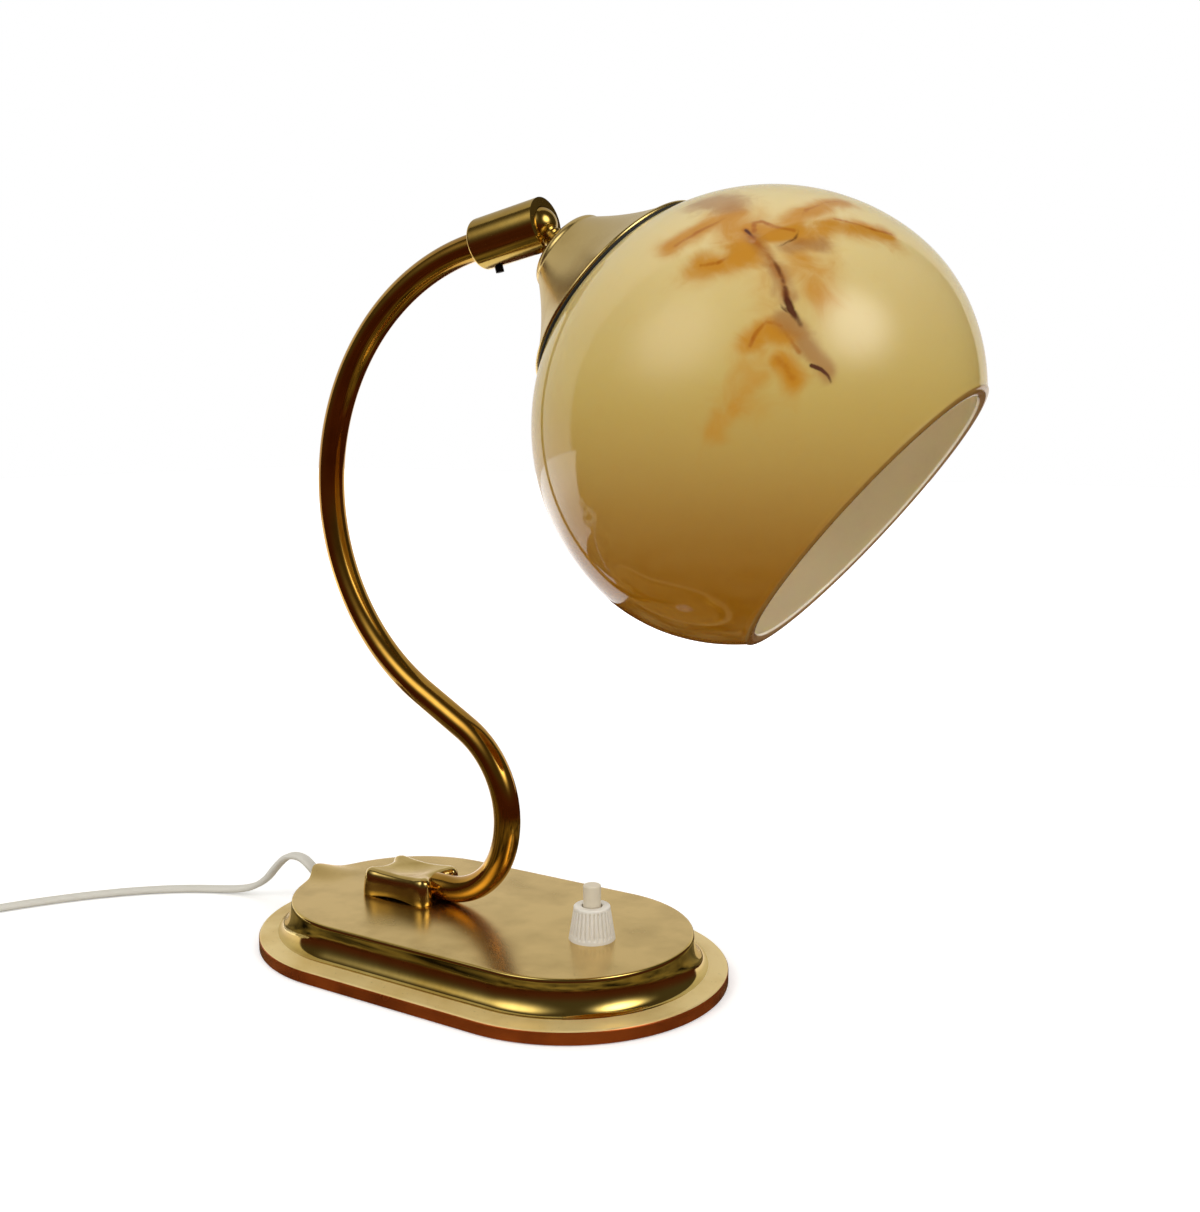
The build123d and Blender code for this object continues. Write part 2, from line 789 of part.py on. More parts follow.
with BuildPart() as socket_shell:
    revolve(
        section(
            shade_plane,
            (socket_start, thread_hole),
            (socket_start, socket_radius - socket_shoulder),
            (socket_start + socket_shoulder, socket_radius),
            (socket_end, socket_radius),
            (socket_end, socket_bore),
            (insert_start + socket_shoulder, socket_bore),
            (insert_start, socket_bore - socket_shoulder),
            (insert_start, thread_hole),
        ),
        axis=shade_axis,
    )

ring_start = globe_back_at(shade_ring_radius, glass_wall) + close_gap

with BuildPart() as shade_ring:
    revolve(
        section(
            shade_plane,
            (ring_start, socket_radius + close_gap),
            (ring_start, shade_ring_radius),
            (ring_start + shade_ring_length, shade_ring_radius),
            (ring_start + shade_ring_length, socket_radius + close_gap),
        ),
        axis=shade_axis,
    )

with BuildPart() as socket_insert:
    with BuildSketch(stem_plane.offset(stem_tip + close_gap)):
        Circle(socket_bore - insert_gap)
    extrude(amount=insert_end - stem_tip - close_gap)

with BuildPart() as screw_shell:
    with BuildSketch(stem_plane.offset(insert_end)):
        Circle(screw_shell_radius)
        Circle(screw_shell_radius - screw_shell_wall, mode=Mode.SUBTRACT)
    extrude(amount=screw_shell_length)

with BuildPart() as centre_contact:
    with BuildSketch(stem_plane.offset(insert_end)):
        Circle(contact_radius)
    extrude(amount=contact_length)

# Bulb
cap_radius = screw_shell_radius - screw_shell_wall - bulb_cap_gap
cap_start = insert_end + contact_length
cap_end = cap_start + bulb_cap_length
bulb_tip = cap_end + bulb_glass_length
bulb_centre = bulb_tip - bulb_radius

with BuildPart() as bulb_cap:
    with BuildSketch(stem_plane.offset(cap_start)):
        Circle(cap_radius)
    extrude(amount=bulb_cap_length)
    fillet(bulb_cap.edges().sort_by(Axis(ball_centre, shade_dir))[0], contact_length)

with BuildPart() as bulb_glass:
    with BuildSketch(shade_plane):
        with BuildLine():
            neck = Line((cap_end, 0), (cap_end, bulb_neck_radius))
            side = Line(neck @ 1, (cap_end + bulb_neck_length, bulb_neck_radius))
            joint_angle = pi - asin(bulb_neck_radius / bulb_radius) * 2
            joint = (bulb_centre + bulb_radius * cos(joint_angle), bulb_radius * sin(joint_angle))
            Line(side @ 1, joint)
            ThreePointArc(joint, (bulb_centre, bulb_radius), (bulb_tip, 0))
            Line((bulb_tip, 0), (cap_end, 0))
        make_face()
    revolve(axis=shade_axis)

# Push switch
switch_at = (switch_x, switch_y)
switch_bottom = plate_top + switch_clearance
switch_body_height = deck_under - switch_bottom
chamber_floor = switch_bottom + switch_floor
chamber_top = chamber_floor + switch_chamber_height
plunger_bore = plunger_radius + free_gap

with BuildPart() as switch_body:
    with BuildSketch(Plane.XY.offset(switch_bottom)):
        with Locations(switch_at):
            Circle(switch_body_radius)
    extrude(amount=switch_body_height)
    with BuildSketch(Plane.XY.offset(deck_under)):
        with Locations(switch_at):
            Circle(switch_neck_radius)
    extrude(amount=sheet + switch_neck_rise)
    with BuildSketch(Plane.XY.offset(chamber_floor)):
        with Locations(switch_at):
            Circle(plunger_bore)
    extrude(amount=deck_height + switch_neck_rise - chamber_floor, mode=Mode.SUBTRACT)
    with BuildSketch(Plane.XY.offset(chamber_floor)):
        with Locations(switch_at):
            Circle(switch_chamber_radius)
    extrude(amount=switch_chamber_height, mode=Mode.SUBTRACT)

with BuildPart() as switch_terminals:
    for side in (-1, 1):
        with BuildSketch(Plane.XY.offset(switch_bottom)):
            with Locations((switch_x + side * terminal_spacing / 2, switch_y)):
                Rectangle(*terminal_size)
        extrude(amount=plate_top + free_gap - switch_bottom)

nut_slope = (nut_bottom_radius - nut_top_radius) / nut_height
groove_middle = (nut_foot_band + nut_height - nut_top_band) / 2
groove_out = nut_bottom_radius - nut_slope * groove_middle
groove_length = nut_height - nut_foot_band - nut_top_band
nut_tilt = degrees(atan(nut_slope))

with BuildPart() as switch_nut:
    with Locations((switch_x, switch_y, deck_height)):
        Cone(nut_bottom_radius, nut_top_radius, nut_height, align=(Align.CENTER, Align.CENTER, Align.MIN))
    fillet(switch_nut.edges().group_by(Axis.Z)[-1], nut_top_round)
    with Locations((switch_x, switch_y, deck_height)):
        Cylinder(
            switch_neck_radius + close_gap,
            nut_height - nut_cap,
            align=(Align.CENTER, Align.CENTER, Align.MIN),
            mode=Mode.SUBTRACT,
        )
        Cylinder(nut_hole_radius, 3 * nut_height, mode=Mode.SUBTRACT)
    with Locations((switch_x, switch_y, deck_height + groove_middle)):
        with PolarLocations(groove_out + nut_groove_radius / 3, nut_ribs):
            with Locations(Location((0, 0, 0), (0, -nut_tilt, 0))):
                Cylinder(nut_groove_radius, groove_length, mode=Mode.SUBTRACT)

flange_top = chamber_top - free_gap

with BuildPart() as switch_plunger:
    with BuildSketch(Plane.XY.offset(flange_top - plunger_flange)):
        with Locations(switch_at):
            Circle(plunger_radius)
    extrude(amount=deck_height + plunger_top - flange_top + plunger_flange)
    fillet(switch_plunger.edges().group_by(Axis.Z)[-1], plunger_round)
    with BuildSketch(Plane.XY.offset(flange_top - plunger_flange)):
        with Locations(switch_at):
            Circle(plunger_flange_radius)
    extrude(amount=plunger_flange)

push_radius = plunger_flange_radius - push_wire
push_rise = flange_top - plunger_flange - chamber_floor - push_wire - 2 * close_gap
push_base = Plane((switch_x, switch_y, chamber_floor + push_wire / 2 + close_gap))
push_sweep = 2 * pi * push_turns
push_rate = push_rise / push_sweep
push_steps = int(4 * push_turns)

with BuildPart() as switch_spring:
    with BuildLine() as push_path:
        turns = [push_sweep * step / push_steps for step in range(push_steps + 1)]
        ends = wind(push_base, [(turn, push_radius, push_rate * turn, 0, push_rate) for turn in turns])
    with BuildSketch(Plane(origin=ends[0][0], z_dir=ends[0][1])):
        Circle(push_wire / 2)
    sweep(path=push_path.wires()[0])
print("switch spring gap", round(self_gap(push_path.wires()[0], push_wire, 36, push_turns), 2))

# Leads inside the base, between the cord clamp, the switch and the arm
lead_height = plate_top + lead_radius + free_gap
lead_end_x = switch_x - switch_body_radius - 2 * free_gap
cord_start_x = clamp_x + clamp_length

with BuildPart() as supply_lead:
    with BuildLine() as supply_path:
        FilletPolyline(
            (cord_start_x, 0, cord_inner_height),
            (cord_start_x + lead_start_run, 0, cord_inner_height),
            (cord_start_x + lead_start_run + lead_slant_run, -lead_side_step, lead_height),
            (lead_end_x - lead_end_run, switch_y - lead_side_step, lead_height),
            (lead_end_x, switch_y, lead_height + lead_end_rise),
            radius=[lead_radius / 2, lead_radius, lead_bend],
        )
    with BuildSketch(Plane(origin=supply_path.line @ 0, z_dir=supply_path.line % 0)):
        Circle(lead_radius)
    sweep(path=supply_path.wires()[0])

with BuildPart() as arm_lead:
    with BuildLine() as lead_path:
        FilletPolyline(
            (wire_hole_x, 0, deck_height),
            (wire_hole_x, 0, lead_height),
            (lead_end_x - lead_end_run, switch_y + 2 * lead_side_step, lead_height),
            (lead_end_x, switch_y + lead_side_step, lead_height + lead_end_rise),
            radius=[2 * lead_radius, lead_bend],
        )
    with BuildSketch(Plane(origin=lead_path.line @ 0, z_dir=lead_path.line % 0)):
        Circle(lead_radius)
    sweep(path=lead_path.wires()[0])

# Cord clamp: a bridge under the cord, screwed up into the weight
clamp_screws_at = [(clamp_x, side * clamp_screw_spacing / 2) for side in (-1, 1)]
cord_bottom = cord_inner_height - cord_radius - close_gap
clamp_bottom = cord_bottom - clamp_floor

with BuildPart() as cord_clamp:
    with BuildSketch(Plane.XY.offset(clamp_bottom)):
        with Locations((clamp_x, 0)):
            Rectangle(clamp_length, clamp_width)
    extrude(amount=pocket_roof - clamp_bottom)
    with BuildSketch(Plane.XY.offset(cord_bottom)):
        with Locations((clamp_x, 0)):
            Rectangle(2 * clamp_length, 2 * (cord_radius + close_gap))
    extrude(amount=pocket_roof - cord_bottom, mode=Mode.SUBTRACT)
    with BuildSketch(Plane.XY.offset(clamp_bottom)):
        with Locations(*clamp_screws_at):
            Circle(clamp_screw_radius + close_gap)
    extrude(amount=pocket_roof - clamp_bottom, mode=Mode.SUBTRACT)

with BuildPart() as clamp_screws:
    with BuildSketch(Plane.XY.offset(clamp_bottom)):
        with Locations(*clamp_screws_at):
            Circle(clamp_screw_head_radius)
    extrude(amount=-clamp_screw_head_height)
    with BuildSketch(Plane.XY.offset(clamp_bottom)):
        with Locations(*clamp_screws_at):
            Circle(clamp_screw_radius)
    extrude(amount=pocket_roof + clamp_screw_grip - clamp_bottom)

# Cord: out of the hood, over and down to the table, then away to the side
cord_route = [
    (-58.0, 0.0, 10.7),
    (-80.6, 0.0, 10.7),
    (-92.2, 0.0, 20.6),
    (-98.3, 0.0, 22.0),
    (-104.4, 0.0, 20.5),
    (-110.4, 0.0, 15.1),
    (-116.5, -0.3, 8.5),
    (-125.3, -1.5, 4.1),
    (-137.5, -5.0, 2.7),
    (-151.5, -12.5, 2.8),
    (-166.0, -24.5, 2.9),
    (-180.0, -40.5, 3.1),
    (-193.0, -60.0, 3.3),
    (-204.5, -82.5, 3.4),
    (-214.5, -106.0, 3.4),
]


def cord_radii(route):
    """Fillet radius at each corner of a route: 0.45 of the shorter run over the half turn's tangent."""
    points = [Vector(*point) for point in route]
    radii = []
    for before, corner, after in zip(points, points[1:], points[2:]):
        run_in = corner - before
        run_out = after - corner
        half_turn = radians(run_in.get_angle(run_out)) / 2
        radii.append(0.45 * min(run_in.length, run_out.length) / tan(half_turn))
    return radii


route_radii = cord_radii(cord_route)
print("cord radii", [round(radius, 1) for radius in route_radii])

with BuildPart() as cord:
    with BuildLine() as cord_path:
        FilletPolyline(*cord_route, radius=route_radii)
    with BuildSketch(Plane(origin=cord_path.line @ 0, z_dir=cord_path.line % 0)):
        Circle(cord_radius)
    sweep(path=cord_path.wires()[0])
cord_length = cord_path.wires()[0].length
cord_fill = cord.part.volume / (pi * cord_radius**2 * cord_length)
print("cord tube", round(cord_length, 1), "volume", round(cord_fill, 4))

# Coil of the put-away length: in along the table, up one layer, and out again
coil_start = cord_path.line @ 1
coil_dir = cord_path.line % 1
coil_dir = Vector(coil_dir.X, coil_dir.Y, 0).normalized()
coil_outer_radius = coil_inner_radius + coil_pitch * coil_turns
coil_rate = coil_pitch / (2 * pi)
coil_lead = coil_start + coil_dir * 2 * cord_radius
coil_centre = coil_lead + Vector(coil_dir.Y, -coil_dir.X, 0) * coil_outer_radius
coil_plane = Plane(origin=coil_centre, x_dir=coil_lead - coil_centre, z_dir=(0, 0, -1))
coil_steps = int(4 * coil_turns)
coil_upper_steps = int(4 * coil_upper_turns)
coil_climb_rate = 1.5 * coil_layer / pi


def coil_station(step):
    """Turn, radius, height and rates of the coil after a number of quarter turns."""
    past = step - coil_steps
    turn = step * pi / 2
    radius = coil_inner_radius + coil_pitch * abs(past) / 4
    height = -coil_layer * min(max((past + 1) / 2, 0), 1)
    widen = 0 if past == 0 or step == 0 else coil_rate * past / abs(past)
    climb = -coil_climb_rate if past == 0 else 0
    return turn, radius, height, widen, climb


with BuildPart() as cord_coil:
    with BuildLine() as coil_path:
        Line(coil_start, coil_lead)
        ends = wind(coil_plane, [coil_station(step) for step in range(coil_steps + coil_upper_steps + 1)])
        coil_exit, exit_dir = ends[-1]
        exit_dir = Vector(exit_dir.X, exit_dir.Y, 0).normalized()
        level_end = coil_exit + exit_dir * plug_level_run
        Line(coil_exit, level_end)
        plug_start = level_end + exit_dir * plug_lead
        plug_start = Vector(plug_start.X, plug_start.Y, plug_lift + plug_thickness / 2)
        biarc(level_end, exit_dir, plug_start, exit_dir)
    with BuildSketch(Plane(origin=coil_start, z_dir=coil_dir)):
        Circle(cord_radius)
    sweep(path=coil_path.wires()[0])
coil_length = coil_path.wires()[0].length
coil_fill = cord_coil.part.volume / (pi * cord_radius**2 * coil_length)
print("coil", round(coil_length, 1), "volume", round(coil_fill, 4))
print("coil gap", round(self_gap(coil_path.wires()[0], 2 * cord_radius, 36, coil_turns + coil_upper_turns), 2))

# Tie round the turns of the coil
tie_angle = pi * 1.25
tie_dir = coil_plane.from_local_coords((cos(tie_angle), sin(tie_angle), 0)) - coil_centre
tie_plane = Plane(origin=coil_centre, x_dir=tie_dir, z_dir=tie_dir.cross(Vector(0, 0, 1)))
tie_turn = tie_angle / (2 * pi)
tie_near_turn = min((tie_turn - coil_turns) % 1, (coil_turns - tie_turn) % 1)
# How far the innermost turn bends out of line over the band's width
tie_bow = tie_width * (tie_width / 4 + coil_rate) / (2 * coil_inner_radius)
tie_near = coil_inner_radius + coil_pitch * tie_near_turn - cord_radius - free_gap - tie_bow
tie_far = coil_inner_radius + coil_pitch * (coil_turns - tie_turn) + cord_radius + free_gap
tie_middle = ((tie_near + tie_far) / 2, coil_layer / 2)
tie_inner = (tie_far - tie_near, coil_layer + 2 * cord_radius + free_gap)

with BuildPart() as cord_tie:
    with BuildSketch(tie_plane):
        with Locations(tie_middle):
            RectangleRounded(tie_inner[0] + 2 * tie_band, tie_inner[1] + 2 * tie_band, cord_radius)
            RectangleRounded(tie_inner[0], tie_inner[1], cord_radius - tie_band, mode=Mode.SUBTRACT)
    extrude(amount=tie_width / 2, both=True)

# Flat two-pin plug at the end of the cord
plug_dir = exit_dir
plug_base = plug_start
plug_plan = Plane(origin=plug_base, x_dir=plug_dir, z_dir=(0, 0, 1))
plug_face = plug_sleeve_length + plug_length

with BuildPart() as plug_body:
    with BuildSketch(plug_plan.offset(-plug_thickness / 2)):
        with BuildLine():
            Polyline(
                (plug_sleeve_length, -plug_rear_width / 2),
                (plug_face - plug_length / 3, -plug_width / 2),
                (plug_face, -plug_width / 2),
                (plug_face, plug_width / 2),
                (plug_face - plug_length / 3, plug_width / 2),
                (plug_sleeve_length, plug_rear_width / 2),
                close=True,
            )
        make_face()
    extrude(amount=plug_thickness)
    fillet(plug_body.edges().filter_by(Axis.Z), plug_corner)
    with BuildSketch(Plane(origin=plug_base, z_dir=plug_dir)):
        Circle(cord_radius + free_gap)
    sleeve_end = plug_base + plug_dir * (plug_sleeve_length + plug_corner)
    with BuildSketch(Plane(origin=sleeve_end, z_dir=plug_dir)):
        Circle(plug_sleeve_radius)
    loft()

with BuildPart() as plug_pins:
    with BuildSketch(Plane(origin=plug_base + plug_dir * plug_face, x_dir=plug_plan.y_dir, z_dir=plug_dir)):
        with GridLocations(pin_spacing, 1, 2, 1):
            Circle(pin_radius)
    extrude(amount=pin_length)
    pin_tips = plug_pins.edges().filter_by(GeomType.CIRCLE).sort_by(Axis(plug_base, plug_dir))[-2:]
    fillet(pin_tips, pin_radius / 2)

print("cord in all", round(cord_length + coil_length + hood_tip.X - cord_route[0][0], 1))
print("ball centre", [round(value, 3) for value in ball_centre])
print("head axis", [round(value, 5) for value in head_dir])
print("tilt axis", [round(value, 5) for value in tilt_dir])
print("shade axis", [round(value, 5) for value in shade_dir])
print("globe centre", [round(value, 2) for value in ball_centre + shade_dir * globe_distance])

pieces = {
    "base_shell": base_shell,
    "base_weight": base_weight,
    "bottom_plate": bottom_plate,
    "plate_screws": plate_screws,
    "felt_pad": felt_pad,
    "foot_block": foot_block,
    "block_screws": block_screws,
    "arm_tube": arm_tube,
    "arm_flex": arm_flex,
    "joint_housing": joint_housing,
    "housing_bush": housing_bush,
    "set_screw": set_screw,
    "spring_seat": spring_seat,
    "ball_spring": ball_spring,
    "ball_stem": ball_stem,
    "bell_holder": bell_holder,
    "stem_nut": stem_nut,
    "glass_shade": glass_shade,
    "gasket_ring": gasket_ring,
    "socket_shell": socket_shell,
    "shade_ring": shade_ring,
    "socket_insert": socket_insert,
    "screw_shell": screw_shell,
    "centre_contact": centre_contact,
    "bulb_cap": bulb_cap,
    "bulb_glass": bulb_glass,
    "switch_body": switch_body,
    "switch_terminals": switch_terminals,
    "switch_nut": switch_nut,
    "switch_plunger": switch_plunger,
    "switch_spring": switch_spring,
    "supply_lead": supply_lead,
    "arm_lead": arm_lead,
    "cord_clamp": cord_clamp,
    "clamp_screws": clamp_screws,
    "cord": cord,
    "cord_coil": cord_coil,
    "cord_tie": cord_tie,
    "plug_body": plug_body,
    "plug_pins": plug_pins,
}

os.makedirs("parts", exist_ok=True)
for name, piece in pieces.items():
    piece.part.label = name
    export_step(piece.part, f"parts/{name}.step")
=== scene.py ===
"""Brass table lamp with a marbled glass globe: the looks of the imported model.

Shapes are worked out in millimetres on numpy grids and put into meshes in metres, in the model's own
frame: the origin is on the table under the middle of the base, +X points to the switch, +Z up.
"""

import bmesh
import bpy
import numpy as np
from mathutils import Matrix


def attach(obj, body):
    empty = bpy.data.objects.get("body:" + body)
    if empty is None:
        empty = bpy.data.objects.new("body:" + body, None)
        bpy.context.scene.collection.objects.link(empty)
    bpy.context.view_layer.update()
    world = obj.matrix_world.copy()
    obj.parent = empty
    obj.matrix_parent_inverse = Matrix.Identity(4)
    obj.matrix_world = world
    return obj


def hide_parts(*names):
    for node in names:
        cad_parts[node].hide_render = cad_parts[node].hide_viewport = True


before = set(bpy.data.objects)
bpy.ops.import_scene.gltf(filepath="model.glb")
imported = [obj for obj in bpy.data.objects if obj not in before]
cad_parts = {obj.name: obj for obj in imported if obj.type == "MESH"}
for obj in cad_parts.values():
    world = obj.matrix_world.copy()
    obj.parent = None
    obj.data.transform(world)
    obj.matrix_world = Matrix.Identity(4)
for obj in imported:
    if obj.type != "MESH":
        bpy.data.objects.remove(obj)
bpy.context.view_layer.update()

MM = 0.001
UP = np.array([0.0, 0.0, 1.0])
AHEAD = np.array([1.0, 0.0, 0.0])
MERGE_GAP = 2e-6
SHARP_ANGLE = np.radians(38)

# Places and directions of the lamp, in millimetres
deck_height = 17.6
deck_radius = 45.6
base_end = 37.75
ball_centre = np.array([26.367, 0.0, 268.159])
shade_axis = np.array([0.75799, 0.10229, -0.64419])
globe_centre = np.array([106.73, 10.85, 199.86])
globe_radius = 75.9
globe_back = 74.8
globe_front = 66.7
globe_mouth = 46.9
glass_wall = 3.2
switch_place = np.array([49.2, -2.5, deck_height])


# Small tools


def unit(vector):
    """The vector, or each row of vectors, divided by its length."""
    vector = np.asarray(vector, float)
    return vector / np.linalg.norm(vector, axis=-1, keepdims=True)


def eased(value):
    """Smooth step: 0 up to 0, 1 from 1 on, and 3v² - 2v³ between."""
    value = np.clip(value, 0, 1)
    return value * value * (3 - 2 * value)


def circle(angles):
    """Points on the unit circle: (cos, sin) of each angle."""
    return np.column_stack([np.cos(angles), np.sin(angles)])


def run(start, end, count):
    """Points on the straight line from start to end, without the end."""
    share = np.arange(count)[:, None] / count
    return np.asarray(start, float) * (1 - share) + np.asarray(end, float) * share


def sweep_arc(centre, radii, start, end, count):
    """Points on an ellipse, centre + radii · (cos, sin), between two angles in degrees, without the end."""
    angle = np.radians(start + (end - start) * np.arange(count) / count)
    return np.asarray(centre, float) + circle(angle) * radii


def arc_through(start, middle, end, count):
    """Points on the circle through three points, from the first to the last, without the last.

    The centre solves |c - p|² equal for all three, and the angle goes evenly by way of the middle point.
    """
    start, middle, end = (np.asarray(point, float) for point in (start, middle, end))
    rows = 2 * np.array([middle - start, end - start])
    sums = np.array([middle @ middle - start @ start, end @ end - start @ start])
    centre = np.linalg.solve(rows, sums)
    angles = np.unwrap([np.arctan2(*(point - centre)[::-1]) for point in (start, middle, end)])
    radius = np.linalg.norm(start - centre)
    return sweep_arc(centre, radius, *np.degrees(angles[[0, 2]]), count)


def closed_curve(points, count):
    """A loop through points: each stretch is a cubic, its end slopes half the neighbours' difference."""
    points = np.asarray(points, float)
    place = np.arange(count) * len(points) / count
    index = place.astype(int)
    t = (place - index)[:, None]
    before, here, there, after = (np.roll(points, -shift, axis=0)[index] for shift in (-1, 0, 1, 2))
    slope_in, slope_out = (there - before) / 2, (after - here) / 2
    return (
        (2 * t**3 - 3 * t**2 + 1) * here
        + (t**3 - 2 * t**2 + t) * slope_in
        + (3 * t**2 - 2 * t**3) * there
        + (t**3 - t**2) * slope_out
    )


def turned(profile, origin, axis, side, angles):
    """Surface of revolution: origin + along · axis + out · (cos a · side + sin a · axis × side)."""
    axis = unit(axis)
    side = unit(side - axis * (side @ axis))
    ring = np.cos(angles)[:, None] * side + np.sin(angles)[:, None] * np.cross(axis, side)
    along, out = profile[:, 0], profile[:, 1]
    return origin + along[None, :, None] * axis + out[None, :, None] * ring[:, None, :]


def carried(path, side, rise, outline):
    """An outline carried along a path: path point + across · side + up · rise at each station."""
    across, up = outline[:, 0], outline[:, 1]
    return path[:, None] + across[None, :, None] * side[:, None] + up[None, :, None] * rise[:, None]


def capped(path, grid):
    """A carried outline closed at both ends: its end stations once more, drawn in to the path's ends."""
    ends = path[[0, -1], None] + 0 * grid[[0, -1]]
    return np.concatenate([ends[:1], grid, ends[1:]])


def hollow(reach, depth, edge):
    """Depth of a shallow dish: depth · (1 - (reach / edge)²), and nothing past its edge."""
    return depth * (1 - np.clip(reach / edge, 0, 1) ** 2)


def full_turn(count):
    """Evenly spaced angles round a circle."""
    return np.arange(count) * 2 * np.pi / count


def keep_fields(mesh, fields):
    """Keeps values at a mesh's points, by name, for its material to read."""
    for field, values in fields.items():
        layer = mesh.attributes.new(field, "FLOAT", "POINT")
        layer.data.foreach_set("value", np.ascontiguousarray(values, np.float32).ravel())


def make_piece(name, grid, finishes, body, stands_for=(), joined=(True, True), zones=None, fields=None):
    """A grid of points, rows by columns, as a mesh that rides on a body.

    Every cell between neighbouring rows and columns is a face, and joined says whether the rows and the
    columns close on themselves. Points that meet, as at a pole, become one. zones gives each column of
    cells its finish, and fields are values kept at the points for the materials.
    """
    rows, columns = grid.shape[:2]
    down = np.arange(rows if joined[0] else rows - 1)[:, None]
    over = np.arange(columns if joined[1] else columns - 1)[None, :]
    next_down, next_over = (down + 1) % rows, (over + 1) % columns
    corners = [down * columns + over, next_down * columns + over]
    corners += [next_down * columns + next_over, down * columns + next_over]
    faces = np.stack(np.broadcast_arrays(*corners), axis=-1).reshape(-1, 4)
    mesh = bpy.data.meshes.new(name)
    mesh.from_pydata(grid.reshape(-1, 3) * MM, [], faces)
    if zones is not None:
        per_face = np.broadcast_to(np.asarray(zones)[: over.size], (down.size, over.size))
        mesh.polygons.foreach_set("material_index", np.ascontiguousarray(per_face, np.int32).ravel())
    keep_fields(mesh, fields or {})
    return finish_piece(name, mesh, finishes, body, stands_for)


def finish_piece(name, mesh, finishes, body, stands_for):
    """Merges points that meet, turns the faces outwards, and puts the piece on its body."""
    work = bmesh.new()
    work.from_mesh(mesh)
    bmesh.ops.remove_doubles(work, verts=work.verts, dist=MERGE_GAP)
    bmesh.ops.recalc_face_normals(work, faces=work.faces)
    work.to_mesh(mesh)
    work.free()
    mesh.shade_smooth()
    mesh.set_sharp_from_angle(angle=SHARP_ANGLE)
    for finish in finishes if isinstance(finishes, (list, tuple)) else [finishes]:
        mesh.materials.append(finish)
    piece = bpy.data.objects.new(name, mesh)
    bpy.context.collection.objects.link(piece)
    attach(piece, body)
    if stands_for:
        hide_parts(*stands_for)
    return piece


# Materials


def linear(hex_colour):
    """An sRGB hex colour as linear red, green, blue and a full alpha."""
    value = np.array([int(hex_colour[place : place + 2], 16) for place in (1, 3, 5)]) / 255
    value = np.where(value <= 0.04045, value / 12.92, ((value + 0.055) / 1.055) ** 2.4)
    return (*value, 1.0)


def add_node(tree, kind, inputs=None, **settings):
    """Adds a node, sets its properties, then fills its inputs: a socket is linked, a value is set."""
    node = tree.nodes.new(kind)
    for key, value in settings.items():
        setattr(node, key, value)
    for key, value in (inputs or {}).items():
        if isinstance(value, bpy.types.NodeSocket):
            tree.links.new(value, node.inputs[key])
        else:
            node.inputs[key].default_value = value
    return node


def start_material(name, colour, **sockets):
    """A material with one principled shader, its constant sockets set, and Object coordinates."""
    material = bpy.data.materials.new(name)
    material.use_nodes = True
    tree = material.node_tree
    shader = tree.nodes["Principled BSDF"]
    shader.inputs["Base Color"].default_value = linear(colour)
    for key, value in sockets.items():
        shader.inputs[key.replace("_", " ")].default_value = value
    place = add_node(tree, "ShaderNodeTexCoord").outputs["Object"]
    return material, tree, shader, place


def brass(name, colour, dull, roughness, rough_spread, wave_height, spot_share=0.35, metal=1.0):
    """Brass: a bright ground clouded with duller patches, fine brown specks and a slightly wavy face.

    Clouds are about 18 mm across, specks about 1.2 mm, and the waviness about 5 mm, with its height in mm.
    """
    material, tree, shader, place = start_material(name, colour, Metallic=metal, Roughness=roughness)
    clouds = add_node(tree, "ShaderNodeTexNoise", {"Vector": place, "Scale": 1 / (18 * MM), "Detail": 4.0})
    cloud = add_node(
        tree, "ShaderNodeMapRange", {"Value": clouds.outputs["Fac"], "From Min": 0.42, "From Max": 0.72}
    )
    tone = add_node(
        tree, "ShaderNodeMix", {0: cloud.outputs[0], 6: linear(colour), 7: linear(dull)}, data_type="RGBA"
    )
    specks = add_node(tree, "ShaderNodeTexNoise", {"Vector": place, "Scale": 1 / (1.2 * MM), "Detail": 2.0})
    speck = add_node(
        tree,
        "ShaderNodeMapRange",
        {"Value": specks.outputs["Fac"], "From Min": 0.68, "From Max": 0.8, "To Max": spot_share},
    )
    spotted = add_node(
        tree,
        "ShaderNodeMix",
        {0: speck.outputs[0], 6: tone.outputs[2], 7: linear("#5A3A12")},
        data_type="RGBA",
    )
    gloss = add_node(
        tree,
        "ShaderNodeMapRange",
        {"Value": clouds.outputs["Fac"], "From Min": 0.3, "From Max": 0.75,
         "To Min": roughness - rough_spread, "To Max": roughness + rough_spread},
    )
    waves = add_node(tree, "ShaderNodeTexNoise", {"Vector": place, "Scale": 1 / (5 * MM), "Detail": 1.0})
    bump = add_node(
        tree,
        "ShaderNodeBump",
        {"Height": waves.outputs["Fac"], "Strength": 1.0, "Distance": wave_height * MM},
    )
    tree.links.new(spotted.outputs[2], shader.inputs["Base Color"])
    tree.links.new(gloss.outputs[0], shader.inputs["Roughness"])
    tree.links.new(bump.outputs["Normal"], shader.inputs["Normal"])
    return material


